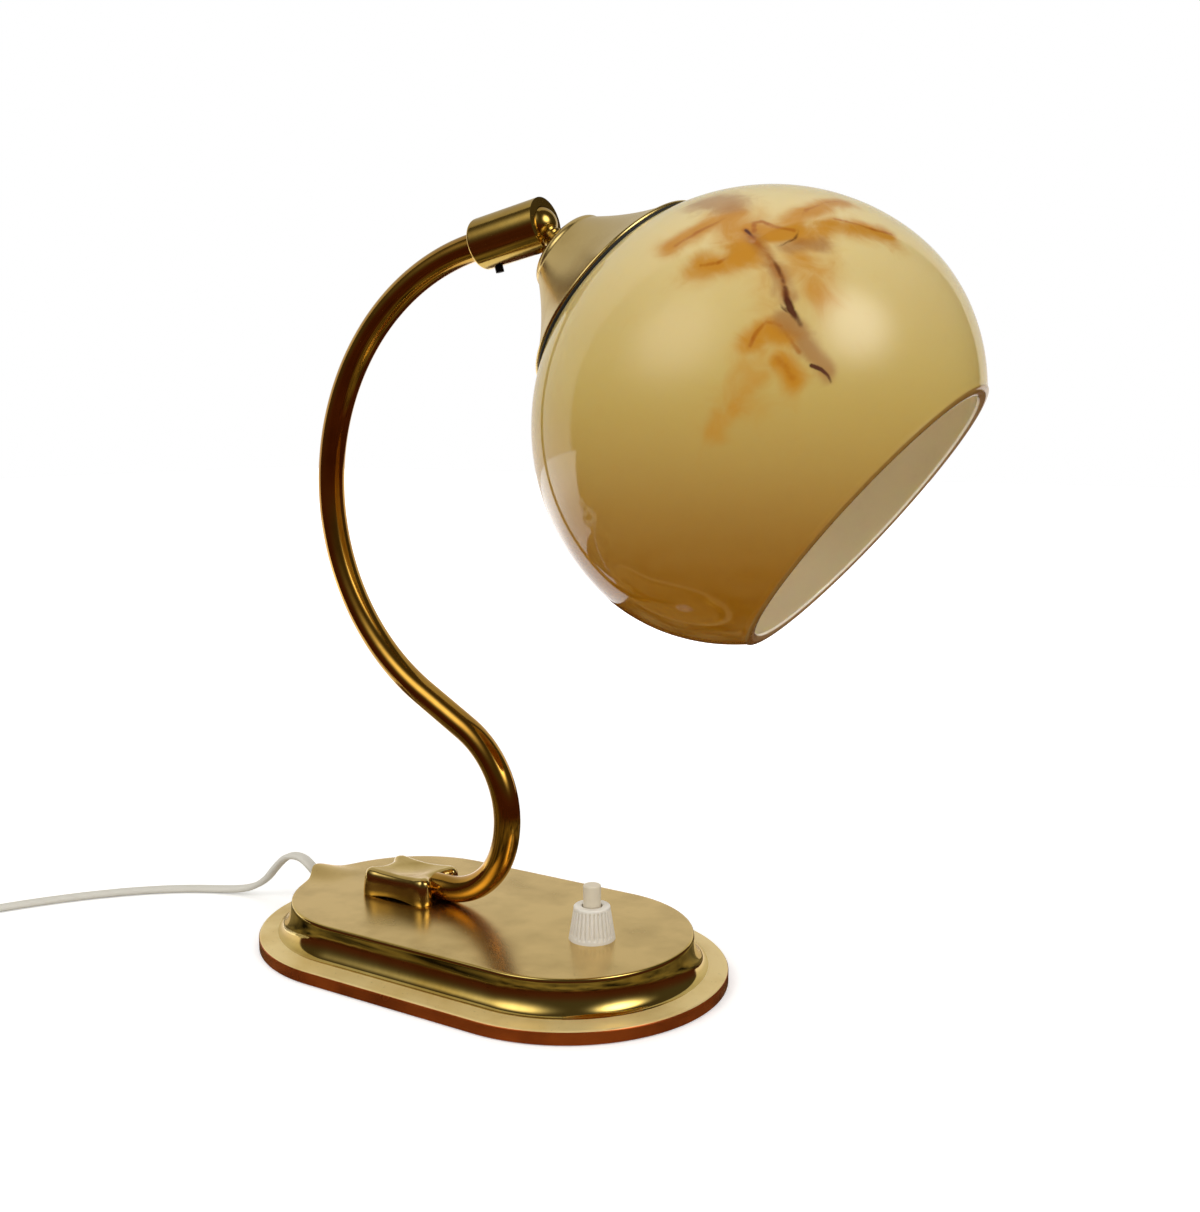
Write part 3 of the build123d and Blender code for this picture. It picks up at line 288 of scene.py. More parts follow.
def moulded(name, colour, shade, roughness, grain_mm, grain_height, **sockets):
    """Moulded or coated stuff: one colour drifting to a second in 25 mm clouds, with a fine grain."""
    material, tree, shader, place = start_material(name, colour, Roughness=roughness, **sockets)
    clouds = add_node(tree, "ShaderNodeTexNoise", {"Vector": place, "Scale": 1 / (25 * MM), "Detail": 5.0})
    tone = add_node(
        tree,
        "ShaderNodeMix",
        {0: clouds.outputs["Fac"], 6: linear(colour), 7: linear(shade)},
        data_type="RGBA",
    )
    grain = add_node(
        tree, "ShaderNodeTexNoise", {"Vector": place, "Scale": 1 / (grain_mm * MM), "Detail": 2.0}
    )
    bump = add_node(
        tree,
        "ShaderNodeBump",
        {"Height": grain.outputs["Fac"], "Strength": 1.0, "Distance": grain_height * MM},
    )
    tree.links.new(tone.outputs[2], shader.inputs["Base Color"])
    tree.links.new(bump.outputs["Normal"], shader.inputs["Normal"])
    return material


# Pressed sheet brass, its lacquer dulled by handling: satin, with soft blurred reflections.
deck_brass = brass("satin_aged_sheet_brass", "#E0C27E", "#CBAF6C", 0.25, 0.03, 0.012)
# The same sheet where the polishing wheel reached: a clean mirror with a slow ripple.
polished_brass = brass("polished_sheet_brass", "#DDC274", "#C9A855", 0.075, 0.02, 0.025)
# The flat flange below it, its lacquer hazy so that it hardly mirrors: a pale gold lighter than the deck, a
# painted reflection of the bright room.
flange_pale_reflection_brass = brass("hazy_sheet_brass_painted_pale_reflection", "#F2D998", "#E2C47C", 0.42, 0.05, 0.012, metal=0.5)
# The rim's upright edge: brown-red over the metal, a painted dark reflection of a table in front of the lamp.
rim_dark_reflection_brass = brass("sheet_brass_painted_dark_reflection", "#B4561E", "#924012", 0.25, 0.05, 0.03, metal=0.7)
# Drawn and lacquered tube, glossy with a warm brown depth.
tube_brass = brass("lacquered_drawn_brass", "#CE9F47", "#B08234", 0.12, 0.03, 0.02)
# Turned bar of the joint: smooth, bright yellow.
turned_brass = brass("turned_bar_brass", "#CFAE5C", "#B28C3C", 0.14, 0.04, 0.02)
# Spun bell, lightly lacquered and gone matt: even beige gold.
spun_brass = brass("spun_lacquered_brass", "#E8CC88", "#DCBE78", 0.24, 0.03, 0.012)
# Cast foot block, buffed over a lumpy casting: bright, with wobbly reflections.
cast_brass = brass("buffed_cast_brass", "#DCC078", "#BC9C52", 0.14, 0.04, 0.06)

# Raw sand casting: dark grey, rough and grainy.
grey_iron = moulded("raw_cast_iron", "#3A3835", "#4A4642", 0.7, 1.2, 0.15, Metallic=1.0)
# Zinc plating over smooth steel: pale grey, half shiny.
zinc_steel = moulded("zinc_plated_steel", "#9A9A98", "#86867F", 0.35, 0.6, 0.01, Metallic=1.0)
# Steel blackened in oil: nearly black, with a dull shine.
black_steel = moulded("blackened_steel", "#1A1918", "#26221E", 0.4, 0.5, 0.01, Metallic=1.0)
# Pressed wool: dark green, without any shine, with a soft nap.
green_felt = moulded("pressed_wool_felt", "#1E241E", "#2A3029", 0.95, 0.7, 0.25)
# Sheath of the flex: white going grey, with a soft sheen.
white_flex = moulded("extruded_white_pvc", "#DEDACF", "#CEC9BB", 0.45, 0.8, 0.01, IOR=1.53)
# Glass of the bulb: milk white and glossy.
opal_glass = moulded("opal_blown_glass", "#EDEBE2", "#E4E0D2", 0.12, 2.0, 0.004, IOR=1.52)
# Rubber: black and dull.
black_rubber = moulded("moulded_black_rubber", "#121110", "#1C1A18", 0.6, 0.5, 0.02)
# Phenolic moulding: brownish black with a low gloss.
black_plastic = moulded("moulded_phenolic_plastic", "#141211", "#1E1916", 0.35, 0.6, 0.01, IOR=1.6)
# Porcelain under its glaze: white with a wet gloss.
white_porcelain = moulded("glazed_porcelain", "#E4E1D8", "#D6D1C4", 0.12, 1.5, 0.006, IOR=1.5)
# Urea moulding: creamy white with a soft gloss.
cream_plastic = moulded("moulded_urea_plastic", "#EFE9DD", "#E4DCCC", 0.32, 0.6, 0.008, IOR=1.55)
# The same, yellowed by fingers: ivory.
ivory_plastic = moulded("yellowed_urea_plastic", "#E2D6BF", "#D4C6A9", 0.32, 0.6, 0.008, IOR=1.55)


def marbled_glass():
    """Blown opal glass, cream, with painted light that makes it paler towards the top and painted shade that
    makes it deeper amber towards the low side, and with trails of coloured glass.

    Each trail is a field kept at the points. Noise of the trail's own size is added to it before it is cut
    off smoothly, which leaves the ragged edges and threads of poured glass. The skin is fire polished.
    """
    ground = "#C2A95F"
    material, tree, shader, place = start_material(
        "marbled_blown_opal_glass", ground, Roughness=0.06, IOR=1.52
    )
    shader.inputs["Subsurface Weight"].default_value = 0.5
    shader.inputs["Subsurface Radius"].default_value = (1.0, 0.75, 0.4)
    shader.inputs["Subsurface Scale"].default_value = 8 * MM
    level = add_node(tree, "ShaderNodeSeparateXYZ", {0: place}).outputs["Z"]
    colour = linear(ground)
    # Two tints that come in between two heights in metres: paler upwards as painted light, and amber
    # downwards as painted shade
    for start, end, tint in ((0.2, 0.275, "#DDC890"), (0.222, 0.142, "#98620E")):
        share = add_node(
            tree,
            "ShaderNodeMapRange",
            {"Value": level, "From Min": start, "From Max": end},
            interpolation_type="SMOOTHSTEP",
        )
        mix = add_node(
            tree, "ShaderNodeMix", {0: share.outputs[0], 6: colour, 7: linear(tint)}, data_type="RGBA"
        )
        colour = mix.outputs[2]
    # Field, noise size in mm, weight of the noise, where it starts and is full, most cover, colour
    layers = (
        # inside: the inner skin tinted near white, painted light standing in for light shining through the
        # wall
        ("inside", 30, 0.1, (0.3, 0.7), 1.0, "#FFEBD0"),
        ("lip", 12, 0.1, (0.15, 0.6), 0.9, "#84602E"),
        ("amber", 10, 0.85, (0.06, 1.0), 0.92, "#BC7E12"),
        ("mauve", 8, 0.8, (0.12, 0.9), 0.7, "#9A6434"),
        ("rust", 4, 0.7, (0.2, 0.95), 0.75, "#9A4E0E"),
        ("vein", 5, 0.55, (0.25, 0.85), 0.95, "#4E2012"),
    )
    for field, size, ragged, (faint, full), most, tint in layers:
        trail = add_node(tree, "ShaderNodeAttribute", attribute_name=field).outputs["Fac"]
        noise = add_node(
            tree,
            "ShaderNodeTexNoise",
            {"Vector": place, "Scale": 1 / (size * MM), "Detail": 6.0, "Distortion": 1.2},
        )
        torn = add_node(
            tree, "ShaderNodeMath", {0: noise.outputs["Fac"], 1: ragged, 2: trail}, operation="MULTIPLY_ADD"
        )
        mean = ragged / 2
        share = add_node(
            tree,
            "ShaderNodeMapRange",
            {"Value": torn.outputs[0], "From Min": faint + mean, "From Max": full + mean, "To Max": most},
            interpolation_type="SMOOTHSTEP",
        )
        mix = add_node(
            tree, "ShaderNodeMix", {0: share.outputs[0], 6: colour, 7: linear(tint)}, data_type="RGBA"
        )
        colour = mix.outputs[2]
    tree.links.new(colour, shader.inputs["Base Color"])
    return material


globe_glass = marbled_glass()

node_finishes = (
    (grey_iron, ["base_weight"]),
    (green_felt, ["felt_pad"]),
    (black_steel, ["set_screw"]),
    (opal_glass, ["bulb_glass"]),
    (white_porcelain, ["socket_insert"]),
    (cream_plastic, ["plug_body"]),
    (white_flex, ["arm_flex", "supply_lead", "arm_lead"]),
    (black_plastic, ["socket_shell", "shade_ring", "switch_body", "cord_clamp"]),
    (zinc_steel, ["bottom_plate", "plate_screws", "block_screws", "clamp_screws"]),
    (zinc_steel, ["ball_spring", "bulb_cap", "switch_spring"]),
    (turned_brass, ["joint_housing", "housing_bush", "spring_seat", "stem_nut"]),
    (turned_brass, ["screw_shell", "centre_contact", "switch_terminals", "plug_pins"]),
)
for finish, node_names in node_finishes:
    for node_name in node_names:
        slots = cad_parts[node_name].data.materials
        slots.clear()
        slots.append(finish)


# Camera, at the photograph's angle: turn and drop in degrees, focal length and long side in pixels

camera_turn = 32.2236
camera_drop = 7.6858
focal_pixels = 1369.95
long_side_pixels = 1212
sensor_mm = 36.0
camera_data = bpy.data.cameras.new("camera")
camera_data.sensor_width = sensor_mm
camera_data.lens = sensor_mm * focal_pixels / long_side_pixels
camera = bpy.data.objects.new("camera", camera_data)
camera.location = (0.30287, -0.39962, 0.20127)
camera.rotation_euler = (np.radians(90 - camera_drop), 0.0, np.radians(camera_turn))
bpy.context.collection.objects.link(camera)
bpy.context.scene.camera = camera


# Mains cord: a flat twin flex from the hood to the plug

flex_width = 5.2
flex_thickness = 2.8
on_table = 1.45
flex_route = [
    (-66.0, 0.0, 10.7),
    (-80.6, 0.0, 10.7),
    (-92.2, 0.0, 20.6),
    (-98.3, 0.0, 22.0),
    (-104.4, 0.0, 20.5),
    (-110.4, 0.0, 15.1),
    (-116.5, -0.3, 8.0),
    (-125.3, -1.5, 3.0),
    (-137.5, -5.0, on_table),
    (-151.5, -12.5, on_table),
    (-166.0, -24.5, on_table),
    (-180.0, -40.5, on_table),
    (-193.0, -60.0, on_table),
    (-204.5, -82.5, on_table),
    (-214.5, -106.0, on_table),
]
coil_heading = unit([-0.3916, -0.9202, 0.0])
coil_inner = 19.4
coil_turns = 4.25
coil_upper_turns = 4.0
coil_pitch = 5.65
coil_points_per_turn = 16
layer_heights = (on_table, 4.4)
coil_out = np.array([-coil_heading[1], coil_heading[0], 0.0])
coil_outer = coil_inner + coil_pitch * coil_turns
coil_lead = np.array(flex_route[-1]) + coil_heading * flex_width
coil_centre = coil_lead - coil_out * coil_outer

# The turns go in along the table, up one layer at the middle, and out again. The radius is the inner one
# and a pitch for each turn to or from the middle.
turn = np.arange(1, int((coil_turns + coil_upper_turns) * coil_points_per_turn) + 1) / coil_points_per_turn
radius = coil_inner + coil_pitch * np.abs(turn - coil_turns)
lift = eased((turn - coil_turns + 0.25) * 2) * (layer_heights[1] - layer_heights[0])
angle = 2 * np.pi * turn
coil_points = coil_centre + (radius * np.cos(angle))[:, None] * coil_out
coil_points += (radius * np.sin(angle))[:, None] * coil_heading + lift[:, None] * UP
coil_exit = coil_points[-1]
exit_heading = -coil_out
plug_run, plug_height = 36, 6.9
lead_step, lead_in_plug = 9, 4
plug_place = np.array([*(coil_exit + exit_heading * plug_run)[:2], plug_height])
lead_out = [
    coil_exit + exit_heading * lead_step,
    coil_exit + exit_heading * 2 * lead_step,
    plug_place - exit_heading * lead_step,
    plug_place + exit_heading * lead_in_plug,
]
flex_points = np.vstack([flex_route, coil_lead[None], coil_points, lead_out])

curve = bpy.data.curves.new("flex_line", "CURVE")
curve.dimensions = "3D"
curve.resolution_u = 6
spline = curve.splines.new("NURBS")
spline.points.add(len(flex_points) - 1)
weighted = np.column_stack([flex_points * MM, np.ones(len(flex_points))])
spline.points.foreach_set("co", weighted.ravel())
spline.order_u = 3
spline.use_endpoint_u = True
line_object = bpy.data.objects.new("flex_line", curve)
line_mesh = bpy.data.meshes.new_from_object(line_object)
flex_line = np.empty(3 * len(line_mesh.vertices))
line_mesh.vertices.foreach_get("co", flex_line)
flex_line = flex_line.reshape(-1, 3) / MM
bpy.data.objects.remove(line_object)
bpy.data.curves.remove(curve)
bpy.data.meshes.remove(line_mesh)

# Section of the flex: two cores side by side, so an oval with a shallow groove along its flat sides.
groove_depth, groove_width, side_fullness = 0.16, 0.22, 0.8
around = full_turn(28)
groove = 1 - groove_depth * np.exp(-((np.cos(around) / groove_width) ** 2))
flex_outline = np.column_stack([
    np.sign(np.cos(around)) * np.abs(np.cos(around)) ** side_fullness * flex_width / 2,
    np.sin(around) * groove * flex_thickness / 2,
])
heading = unit(np.gradient(flex_line, axis=0))
across = unit(np.cross(UP, heading))
rise = np.cross(heading, across)
flex_grid = capped(flex_line, carried(flex_line, across, rise, flex_outline))
flex = make_piece(
    "mains_flex", flex_grid, white_flex, "base", ("cord", "cord_coil"), (False, True)
)

# Tie: a rounded square band round all the turns on one side of the coil, its lower run flat on the table
tie_angle = 1.25 * np.pi
tie_slack_near, tie_slack_far = 0.5, 0.1
tie_half_width, tie_inner, tie_outer = 3.5, 0.15, 0.75
tie_lift, tie_lowest, tie_corner = 0.06, 0.02, 0.25
tie_dir = np.cos(tie_angle) * coil_out + np.sin(tie_angle) * coil_heading
tie_turn = tie_angle / (2 * np.pi)
tie_near = coil_inner + coil_pitch * ((tie_turn - coil_turns) % 1) - flex_width / 2 - tie_slack_near
tie_far = coil_inner + coil_pitch * (coil_turns - tie_turn) + flex_width / 2 + tie_slack_far
tie_middle = coil_centre + tie_dir * (tie_near + tie_far) / 2
tie_half = np.array([tie_far - tie_near, layer_heights[1] + flex_thickness / 2]) / 2
tie_ring = circle(full_turn(72))
tie_shape = np.sign(tie_ring) * np.abs(tie_ring) ** tie_corner
tie_across = unit(np.cross(tie_dir, UP))
tie_level = tie_half[1] + tie_lift
tie_columns = []
for side, skin in ((-1, tie_inner), (1, tie_inner), (1, tie_outer), (-1, tie_outer)):
    reach = tie_shape * (tie_half + skin)
    edge = tie_middle * [1, 1, 0] + UP * tie_level + tie_across * side * tie_half_width
    tie_columns.append(edge + reach[:, :1] * tie_dir + np.maximum(reach[:, 1:], tie_lowest - tie_level) * UP)
tie = make_piece(
    "flex_tie", np.stack(tie_columns, axis=1), black_rubber, "base", ("cord_tie",)
)


# Base: a profile of rim, flange, cove and deck carried round two half circles and two straight sides

# Stations round the plan, which crowd together at the hood
hood_count, switch_count, side_count = 221, 121, 40
spread = np.linspace(-1, 1, hood_count)
hood_end = np.pi + np.pi / 2 * (0.4 * spread + 0.6 * spread**3)
switch_end = np.linspace(-np.pi / 2, np.pi / 2, switch_count)
side_steps = np.linspace(-1, 1, side_count + 2)[1:-1]
plan_angle = np.concatenate(
    [switch_end, np.full(side_count, np.pi / 2), hood_end, np.full(side_count, 3 * np.pi / 2)]
)
plan_x = base_end * np.concatenate([np.ones(switch_count), -side_steps, -np.ones(hood_count), side_steps])
plan_out = circle(plan_angle)

# Profile, by distance out and height: over the deck, down the cove and the rim, and back underneath
sheet = 1.2
deck_under = deck_height - sheet
deck_round = 0.8
deck_flat = deck_radius - 1.0
fine_from = 32
cove_middle = (50.7, deck_height)
cove_radii = np.array([5.25, 11.7])
flange_height = 5.9
rim_out, rim_height, rim_foot = 58.0, 4.15, 0.4
rim_in = rim_out - sheet
rim_radii = (1.25, 1.0)
inner_count, outer_count, edge_count, cove_count, flange_count = 14, 22, 5, 40, 8
outer_profile = np.concatenate([
    run((0, deck_height), (fine_from, deck_height), inner_count),
    run((fine_from, deck_height), (deck_flat, deck_height), outer_count),
    sweep_arc((deck_flat, deck_height - deck_round), (deck_round, deck_round), 90, 10, edge_count),
    sweep_arc(cove_middle, cove_radii, 187, 268, cove_count),
    run((cove_middle[0], flange_height), (56.2, 5.2), flange_count),
    sweep_arc((rim_out - rim_radii[0], rim_height), rim_radii, 100, 0, 8),
    run((rim_out, rim_height), (rim_out, rim_foot), 5),
    run((rim_out, rim_foot), (rim_in, rim_foot), 2),
    run((rim_in, rim_foot), (rim_in, 3.8), 3),
    run((rim_in, 3.8), (50.4, flange_height - sheet), 4),
    sweep_arc(cove_middle, cove_radii + sheet, 268, 190, 16),
    run((44.2, deck_under), (0, deck_under), 8),
    [(0, deck_under)],
])
base_grid = np.empty((len(plan_angle), len(outer_profile), 3))
base_grid[..., 0] = plan_x[:, None] + plan_out[:, :1] * outer_profile[:, 0]
base_grid[..., 1] = plan_out[:, 1:] * outer_profile[:, 0]
base_grid[..., 2] = outer_profile[:, 1]

# Hood: the deck's edge is drawn out and up over the cord, most on the middle line and fading to the sides.
hood_half_width, hood_fade = 6.5, 15
hood_out, hood_up = 5.0, 2.6
cove_fade_from, cove_fade_run = 7.5, 9.5
end_reach = np.hypot(base_grid[..., 0] + base_end, base_grid[..., 1])
from_edge = end_reach - deck_radius
in_hood = np.exp(-((base_grid[..., 1] / hood_half_width) ** 2)) * (base_grid[..., 0] < -base_end)
deck_fade = np.where(from_edge < 0, eased(1 + from_edge / hood_fade), 1)
cove_fade = eased((base_grid[..., 2] - cove_fade_from) / cove_fade_run)
pull = in_hood * deck_fade * cove_fade
base_grid[..., 0] -= hood_out * pull
base_grid[..., 2] += hood_up * pull

# Finishes by cells of the profile: deck and start of its edge, cove, flange and most of the rim's round, rest
base_finishes = [deck_brass, polished_brass, rim_dark_reflection_brass, flange_pale_reflection_brass]
zone_cells = np.array([inner_count + outer_count + 1, edge_count - 1 + cove_count, flange_count + 5])
zones = np.repeat([0, 1, 3, 2], [*zone_cells, len(outer_profile) - zone_cells.sum()])
make_piece(
    "base_pressing", base_grid, base_finishes, "base", ("base_shell",), (True, False), zones,
)


# Foot block: a four-lobed plan with hollow ends, rounded over at the top, dished, and arched underneath

block_middle = np.array([-36.4, 0.0])
block_high = 10.8
quarter = [
    (13.4, 0), (13.8, 3.4), (15.2, 5.6), (16.4, 7.8), (16.1, 10.0), (14.3, 11.8), (11.6, 12.2), (7.6, 11.8),
    (0, 11.4),
]
half = quarter + [(-x, y) for x, y in quarter[-2::-1]]
lobes = np.array(half + [(x, -y) for x, y in half[-2:0:-1]])
plan = closed_curve(lobes, 240)
plan_way = unit(np.roll(plan, -1, axis=0) - np.roll(plan, 1, axis=0))
plan_side = np.column_stack([plan_way[:, 1], -plan_way[:, 0]])
plan_side *= np.sign(np.sum(plan_side * plan, axis=1).sum())
block_rise = np.array([0.0, 0.5, 2.5, 5.0, 7.2, 8.6, 9.5, 10.1, 10.5, 10.7, block_high])
inset = np.array([0.3, 0.0, 0.1, 0.25, 0.4, 0.6, 0.9, 1.3, 1.7, 2.0, 2.2])[:, None, None]
drawn_in = 1 - np.array([0, 0, 0, 0.01, 0.02, 0.03, 0.04, 0.055, 0.075, 0.1, 0.13])[:, None, None]
sides = (plan[None] - inset * plan_side[None]) * drawn_in
inwards = np.array([0.94, 0.86, 0.76, 0.64, 0.5, 0.35, 0.18, 0.0])[:, None, None]
block_plan = np.concatenate([sides, sides[-1:] * inwards])
block_reach = np.hypot(block_plan[..., 0], block_plan[..., 1])
dish = hollow(block_reach, 1.5, 17.5) + hollow(block_reach, 0.6, 8.5)
share_up = np.concatenate([block_rise / block_high, np.ones(len(inwards))])[:, None]
arch = hollow(np.abs(block_plan[..., 0]), 0.9, 11) * (1 - share_up)
block_foot = deck_height + 0.02
block_height = block_foot + block_high * share_up - dish * share_up**3 + arch
block_grid = np.concatenate([block_plan + block_middle, block_height[..., None]], axis=-1)
bottom = np.concatenate([block_plan[:1] * 0 + block_middle, block_grid[:1, :, 2:]], axis=-1)
block_grid = np.concatenate([bottom, block_grid]).transpose(1, 0, 2)
make_piece("foot_casting", block_grid, cast_brass, "base", ("foot_block",), (True, False))


# Arm: a round tube along straight runs and arcs in the lamp's middle plane. A bend has its radius and its
# angle in degrees, and a straight run has no radius and its length.

tube_radius = 5.0
straight = None
arm_runs = [(straight, 6.3), (27.4, 69.0), (38.0, 81.1), (straight, 23.0), (88.9, -139.1), (straight, 12.0)]
point = np.array([-24.27, 22.8])
slope = 0.0
arm_line, arm_slope = [], []
for bend_radius, amount in arm_runs:
    if bend_radius is straight:
        share = np.linspace(0, 1, 7)
        stretch = point + share[:, None] * amount * np.array([np.cos(slope), np.sin(slope)])
        bend = np.full(len(share), slope)
    else:
        share = np.linspace(0, 1, int(abs(amount) * bend_radius / 60) + 12)
        bend = slope + np.radians(amount) * share
        normal = np.column_stack([-np.sin(bend), np.cos(bend)]) * np.sign(amount) * bend_radius
        stretch = point + normal[0] - normal
    arm_line.append(stretch[:-1])
    arm_slope.append(bend[:-1])
    point, slope = stretch[-1], bend[-1]
arm_line = np.vstack([*arm_line, point])
arm_slope = np.append(np.concatenate(arm_slope), slope)
arm_path = np.column_stack([arm_line[:, 0], 0 * arm_slope, arm_line[:, 1]])
arm_normal = np.column_stack([-np.sin(arm_slope), 0 * arm_slope, np.cos(arm_slope)])
arm_side = np.tile([0.0, 1.0, 0.0], (len(arm_path), 1))
tube_ring = circle(full_turn(48)) * tube_radius
arm_grid = capped(arm_path, carried(arm_path, arm_side, arm_normal, tube_ring))
make_piece("arm_bent_tube", arm_grid, tube_brass, "base", ("arm_tube",), (False, True))


# Stem: a ball, a neck with a few turns of thread, and the collar that carries the bell

ball_radius = 6.3
neck_start, neck_length, neck_radius = 5.0, 5.2, 3.75
thread_turns, thread_depth = 3.5, 0.35
collar_round = 0.4
stem_radius, stem_end = 4.8, 27.6
bell_seat = 11.6
thread = np.linspace(0, 1, 33)
dip = 0.5 - 0.5 * np.cos(2 * np.pi * thread_turns * thread)
neck = np.column_stack([neck_start + neck_length * thread, neck_radius - thread_depth * dip])
stem_profile = np.concatenate([
    sweep_arc((0, 0), (ball_radius, ball_radius), 180, 38, 24),
    neck,
    sweep_arc((10.6, 5.5), (collar_round, collar_round), 180, 90, 4),
    sweep_arc((11.2, 5.5), (collar_round, collar_round), 90, 0, 4),
    run((bell_seat, stem_radius), (stem_end, stem_radius), 3),
    [(stem_end, stem_radius), (stem_end, 0)],
])
make_piece(
    "ball_and_stem", turned(stem_profile, ball_centre, shade_axis, UP, full_turn(72)),
    turned_brass, "shade", ("ball_stem",), (True, False),
)


# Bell: spun sheet with a rounded shoulder, a flared skirt and a rolled rim

bell_wall = 1.0
bell_hole, bell_flat = 5.1, 8.6
bell_inside = bell_seat + bell_wall
skin = bell_wall * unit([13.4, -12.0])
shoulder, waist, rim = np.array([15.6, 15.2]), np.array([28.0, 25.6]), np.array([40.0, 39.0])
bead, bead_radius = rim + skin / 2, 0.8
bell_profile = np.concatenate([
    run((bell_seat, bell_hole), (bell_seat, bell_flat), 3),
    sweep_arc((shoulder[0], bell_flat), (4.0, 6.6), 180, 90, 16),
    arc_through(shoulder, waist, rim, 40),
    sweep_arc(bead, (bead_radius, bead_radius), 132, -48, 14),
    arc_through(rim + skin, waist + skin, shoulder + skin, 24),
    run((16.6, 14.2), (bell_inside, bell_flat), 4),
    run((bell_inside, bell_flat), (bell_inside, bell_hole), 2),
    [(bell_inside, bell_hole)],
])
make_piece(
    "bell_spinning", turned(bell_profile, ball_centre, shade_axis, UP, full_turn(180)),
    spun_brass, "shade", ("bell_holder",),
)


# Gasket: a rubber ring between bell and glass, pressed out a little past the bell's rim
gasket_section = [
    (38.4, 35.3), (39.6, 36.9), (40.75, 38.4), (41.0, 39.2), (41.5, 39.75), (42.1, 39.65), (42.2, 39.1),
    (41.4, 38.1), (40.3, 36.6), (39.0, 34.9),
]
make_piece(
    "gasket_lip", turned(closed_curve(gasket_section, 40), ball_centre, shade_axis, UP, full_turn(160)),
    black_rubber, "shade", ("gasket_ring",),
)


# Globe: two half ellipsoids of glass with a fire-polished lip, the marbling held as fields at its points


def on_globe(turn_angle, along_angle, wall=0.0):
    """Point of the globe from its turn about the axis and its angle from the open end, in degrees."""
    turn_angle, along_angle = np.radians(turn_angle), np.radians(along_angle)
    deep = np.where(np.cos(along_angle) < 0, globe_back, globe_front) - wall
    side = unit(UP - shade_axis * (UP @ shade_axis))
    ring = np.cos(turn_angle)[..., None] * side + np.sin(turn_angle)[..., None] * np.cross(shade_axis, side)
    out = (globe_radius - wall) * np.sin(along_angle)
    return globe_centre + (deep * np.cos(along_angle))[..., None] * shade_axis + out[..., None] * ring


# Trails of coloured glass: half width in mm, strength, then turn and angle from the open end in degrees
amber_trails = [
    (5.5, 0.95, [(40.9, 116.7), (46.5, 119.4), (53.5, 120.9), (58.9, 123.6)]),
    (6.0, 1.05, [(45.0, 111.5), (42.8, 106.5), (38.6, 104.3)]),
    (5.0, 0.95, [(39.6, 105.3), (31.6, 105.7), (23.5, 104.9), (17.5, 104.4)]),
    (5.0, 0.95, [(40.2, 100.9), (30.6, 98.4), (25.7, 94.2), (20.5, 89.3)]),
    (6.5, 0.9, [(46.8, 107.2), (52.5, 106.0), (57.6, 108.6), (61.3, 112.2)]),
    (10.0, 0.9, [(43.4, 117.0), (46.5, 112.0), (50.5, 107.5)]),
    (9.5, 0.65, [(42.6, 98.5), (46.0, 94.0), (49.3, 88.0)]),
    (7.0, 0.4, [(54.5, 99.5), (58.0, 92.5)]),
    (4.6, 0.95, [(66.1, 89.8), (62.6, 89.1), (61.5, 85.1)]),
    (7.0, 0.5, [(67.0, 87.0), (72.5, 84.5), (77.2, 83.2)]),
    (4.2, 0.62, [(77.2, 83.2), (81.6, 83.2), (84.9, 81.8)]),
    (4.2, 0.9, [(65.9, 81.9), (67.2, 77.3)]),
]
mauve_trails = [
    (7.5, 0.9, [(36.3, 130.6), (37.8, 122.0)]),
    (4.0, 0.75, [(43.8, 100.7), (38.1, 97.0)]),
    (3.6, 0.95, [(58.9, 87.7), (58.7, 83.3), (60.0, 77.8), (61.0, 72.7)]),
    (3.5, 0.8, [(46.8, 107.6), (49.6, 102.0), (52.9, 96.1), (55.3, 91.6)]),
]
rust_trails = [
    (1.2, 0.85, [(45.0, 109.3), (42.3, 111.6), (40.6, 110.6), (40.3, 107.8), (38.6, 103.8)]),
    (1.2, 0.7, [(59.2, 123.3), (54.4, 120.8), (48.0, 118.7), (44.5, 118.6)]),
    (0.9, 0.75, [(61.2, 112.4), (58.2, 109.9), (55.0, 109.0), (52.5, 109.2)]),
    (0.9, 0.85, [(66.8, 89.6), (64.2, 90.3), (61.5, 90.3), (60.6, 87.5), (61.1, 84.2), (61.9, 80.4)]),
    (1.0, 0.8, [(28.3, 99.8), (25.4, 96.1), (23.6, 93.3), (21.8, 91.5), (18.5, 89.9)]),
    (1.0, 0.65, [(36.6, 104.5), (32.4, 105.2), (28.8, 106.5), (23.5, 105.9), (18.0, 105.0)]),
    (1.6, 0.8, [(45.8, 111.0), (48.2, 103.7), (52.6, 96.0), (55.3, 91.6)]),
    (1.6, 0.6, [(65.9, 82.6), (67.0, 78.0)]),
]
vein_trails = [
    (0.8, 0.9, [(45.8, 111.0), (46.8, 107.6), (48.2, 103.7)]),
    (1.0, 0.95, [(48.2, 103.7), (49.6, 100.7), (52.6, 96.0), (55.3, 91.6)]),
    (1.2, 1.1, [(54.0, 93.6), (55.3, 91.6), (56.8, 88.3), (57.7, 84.4)]),
    (0.75, 0.72, [(48.1, 104.1), (44.9, 102.3), (41.0, 101.7), (38.1, 102.8), (36.8, 104.7)]),
    (0.7, 1.15, [(62.5, 76.5), (61.8, 74.2), (61.7, 71.9), (62.2, 70.2)]),
    (0.6, 0.75, [(56.4, 92.7), (57.5, 90.1), (57.6, 87.7)]),
    (0.7, 0.6, [(138.4, 96.6), (140.6, 95.2), (142.8, 94.4)]),
]


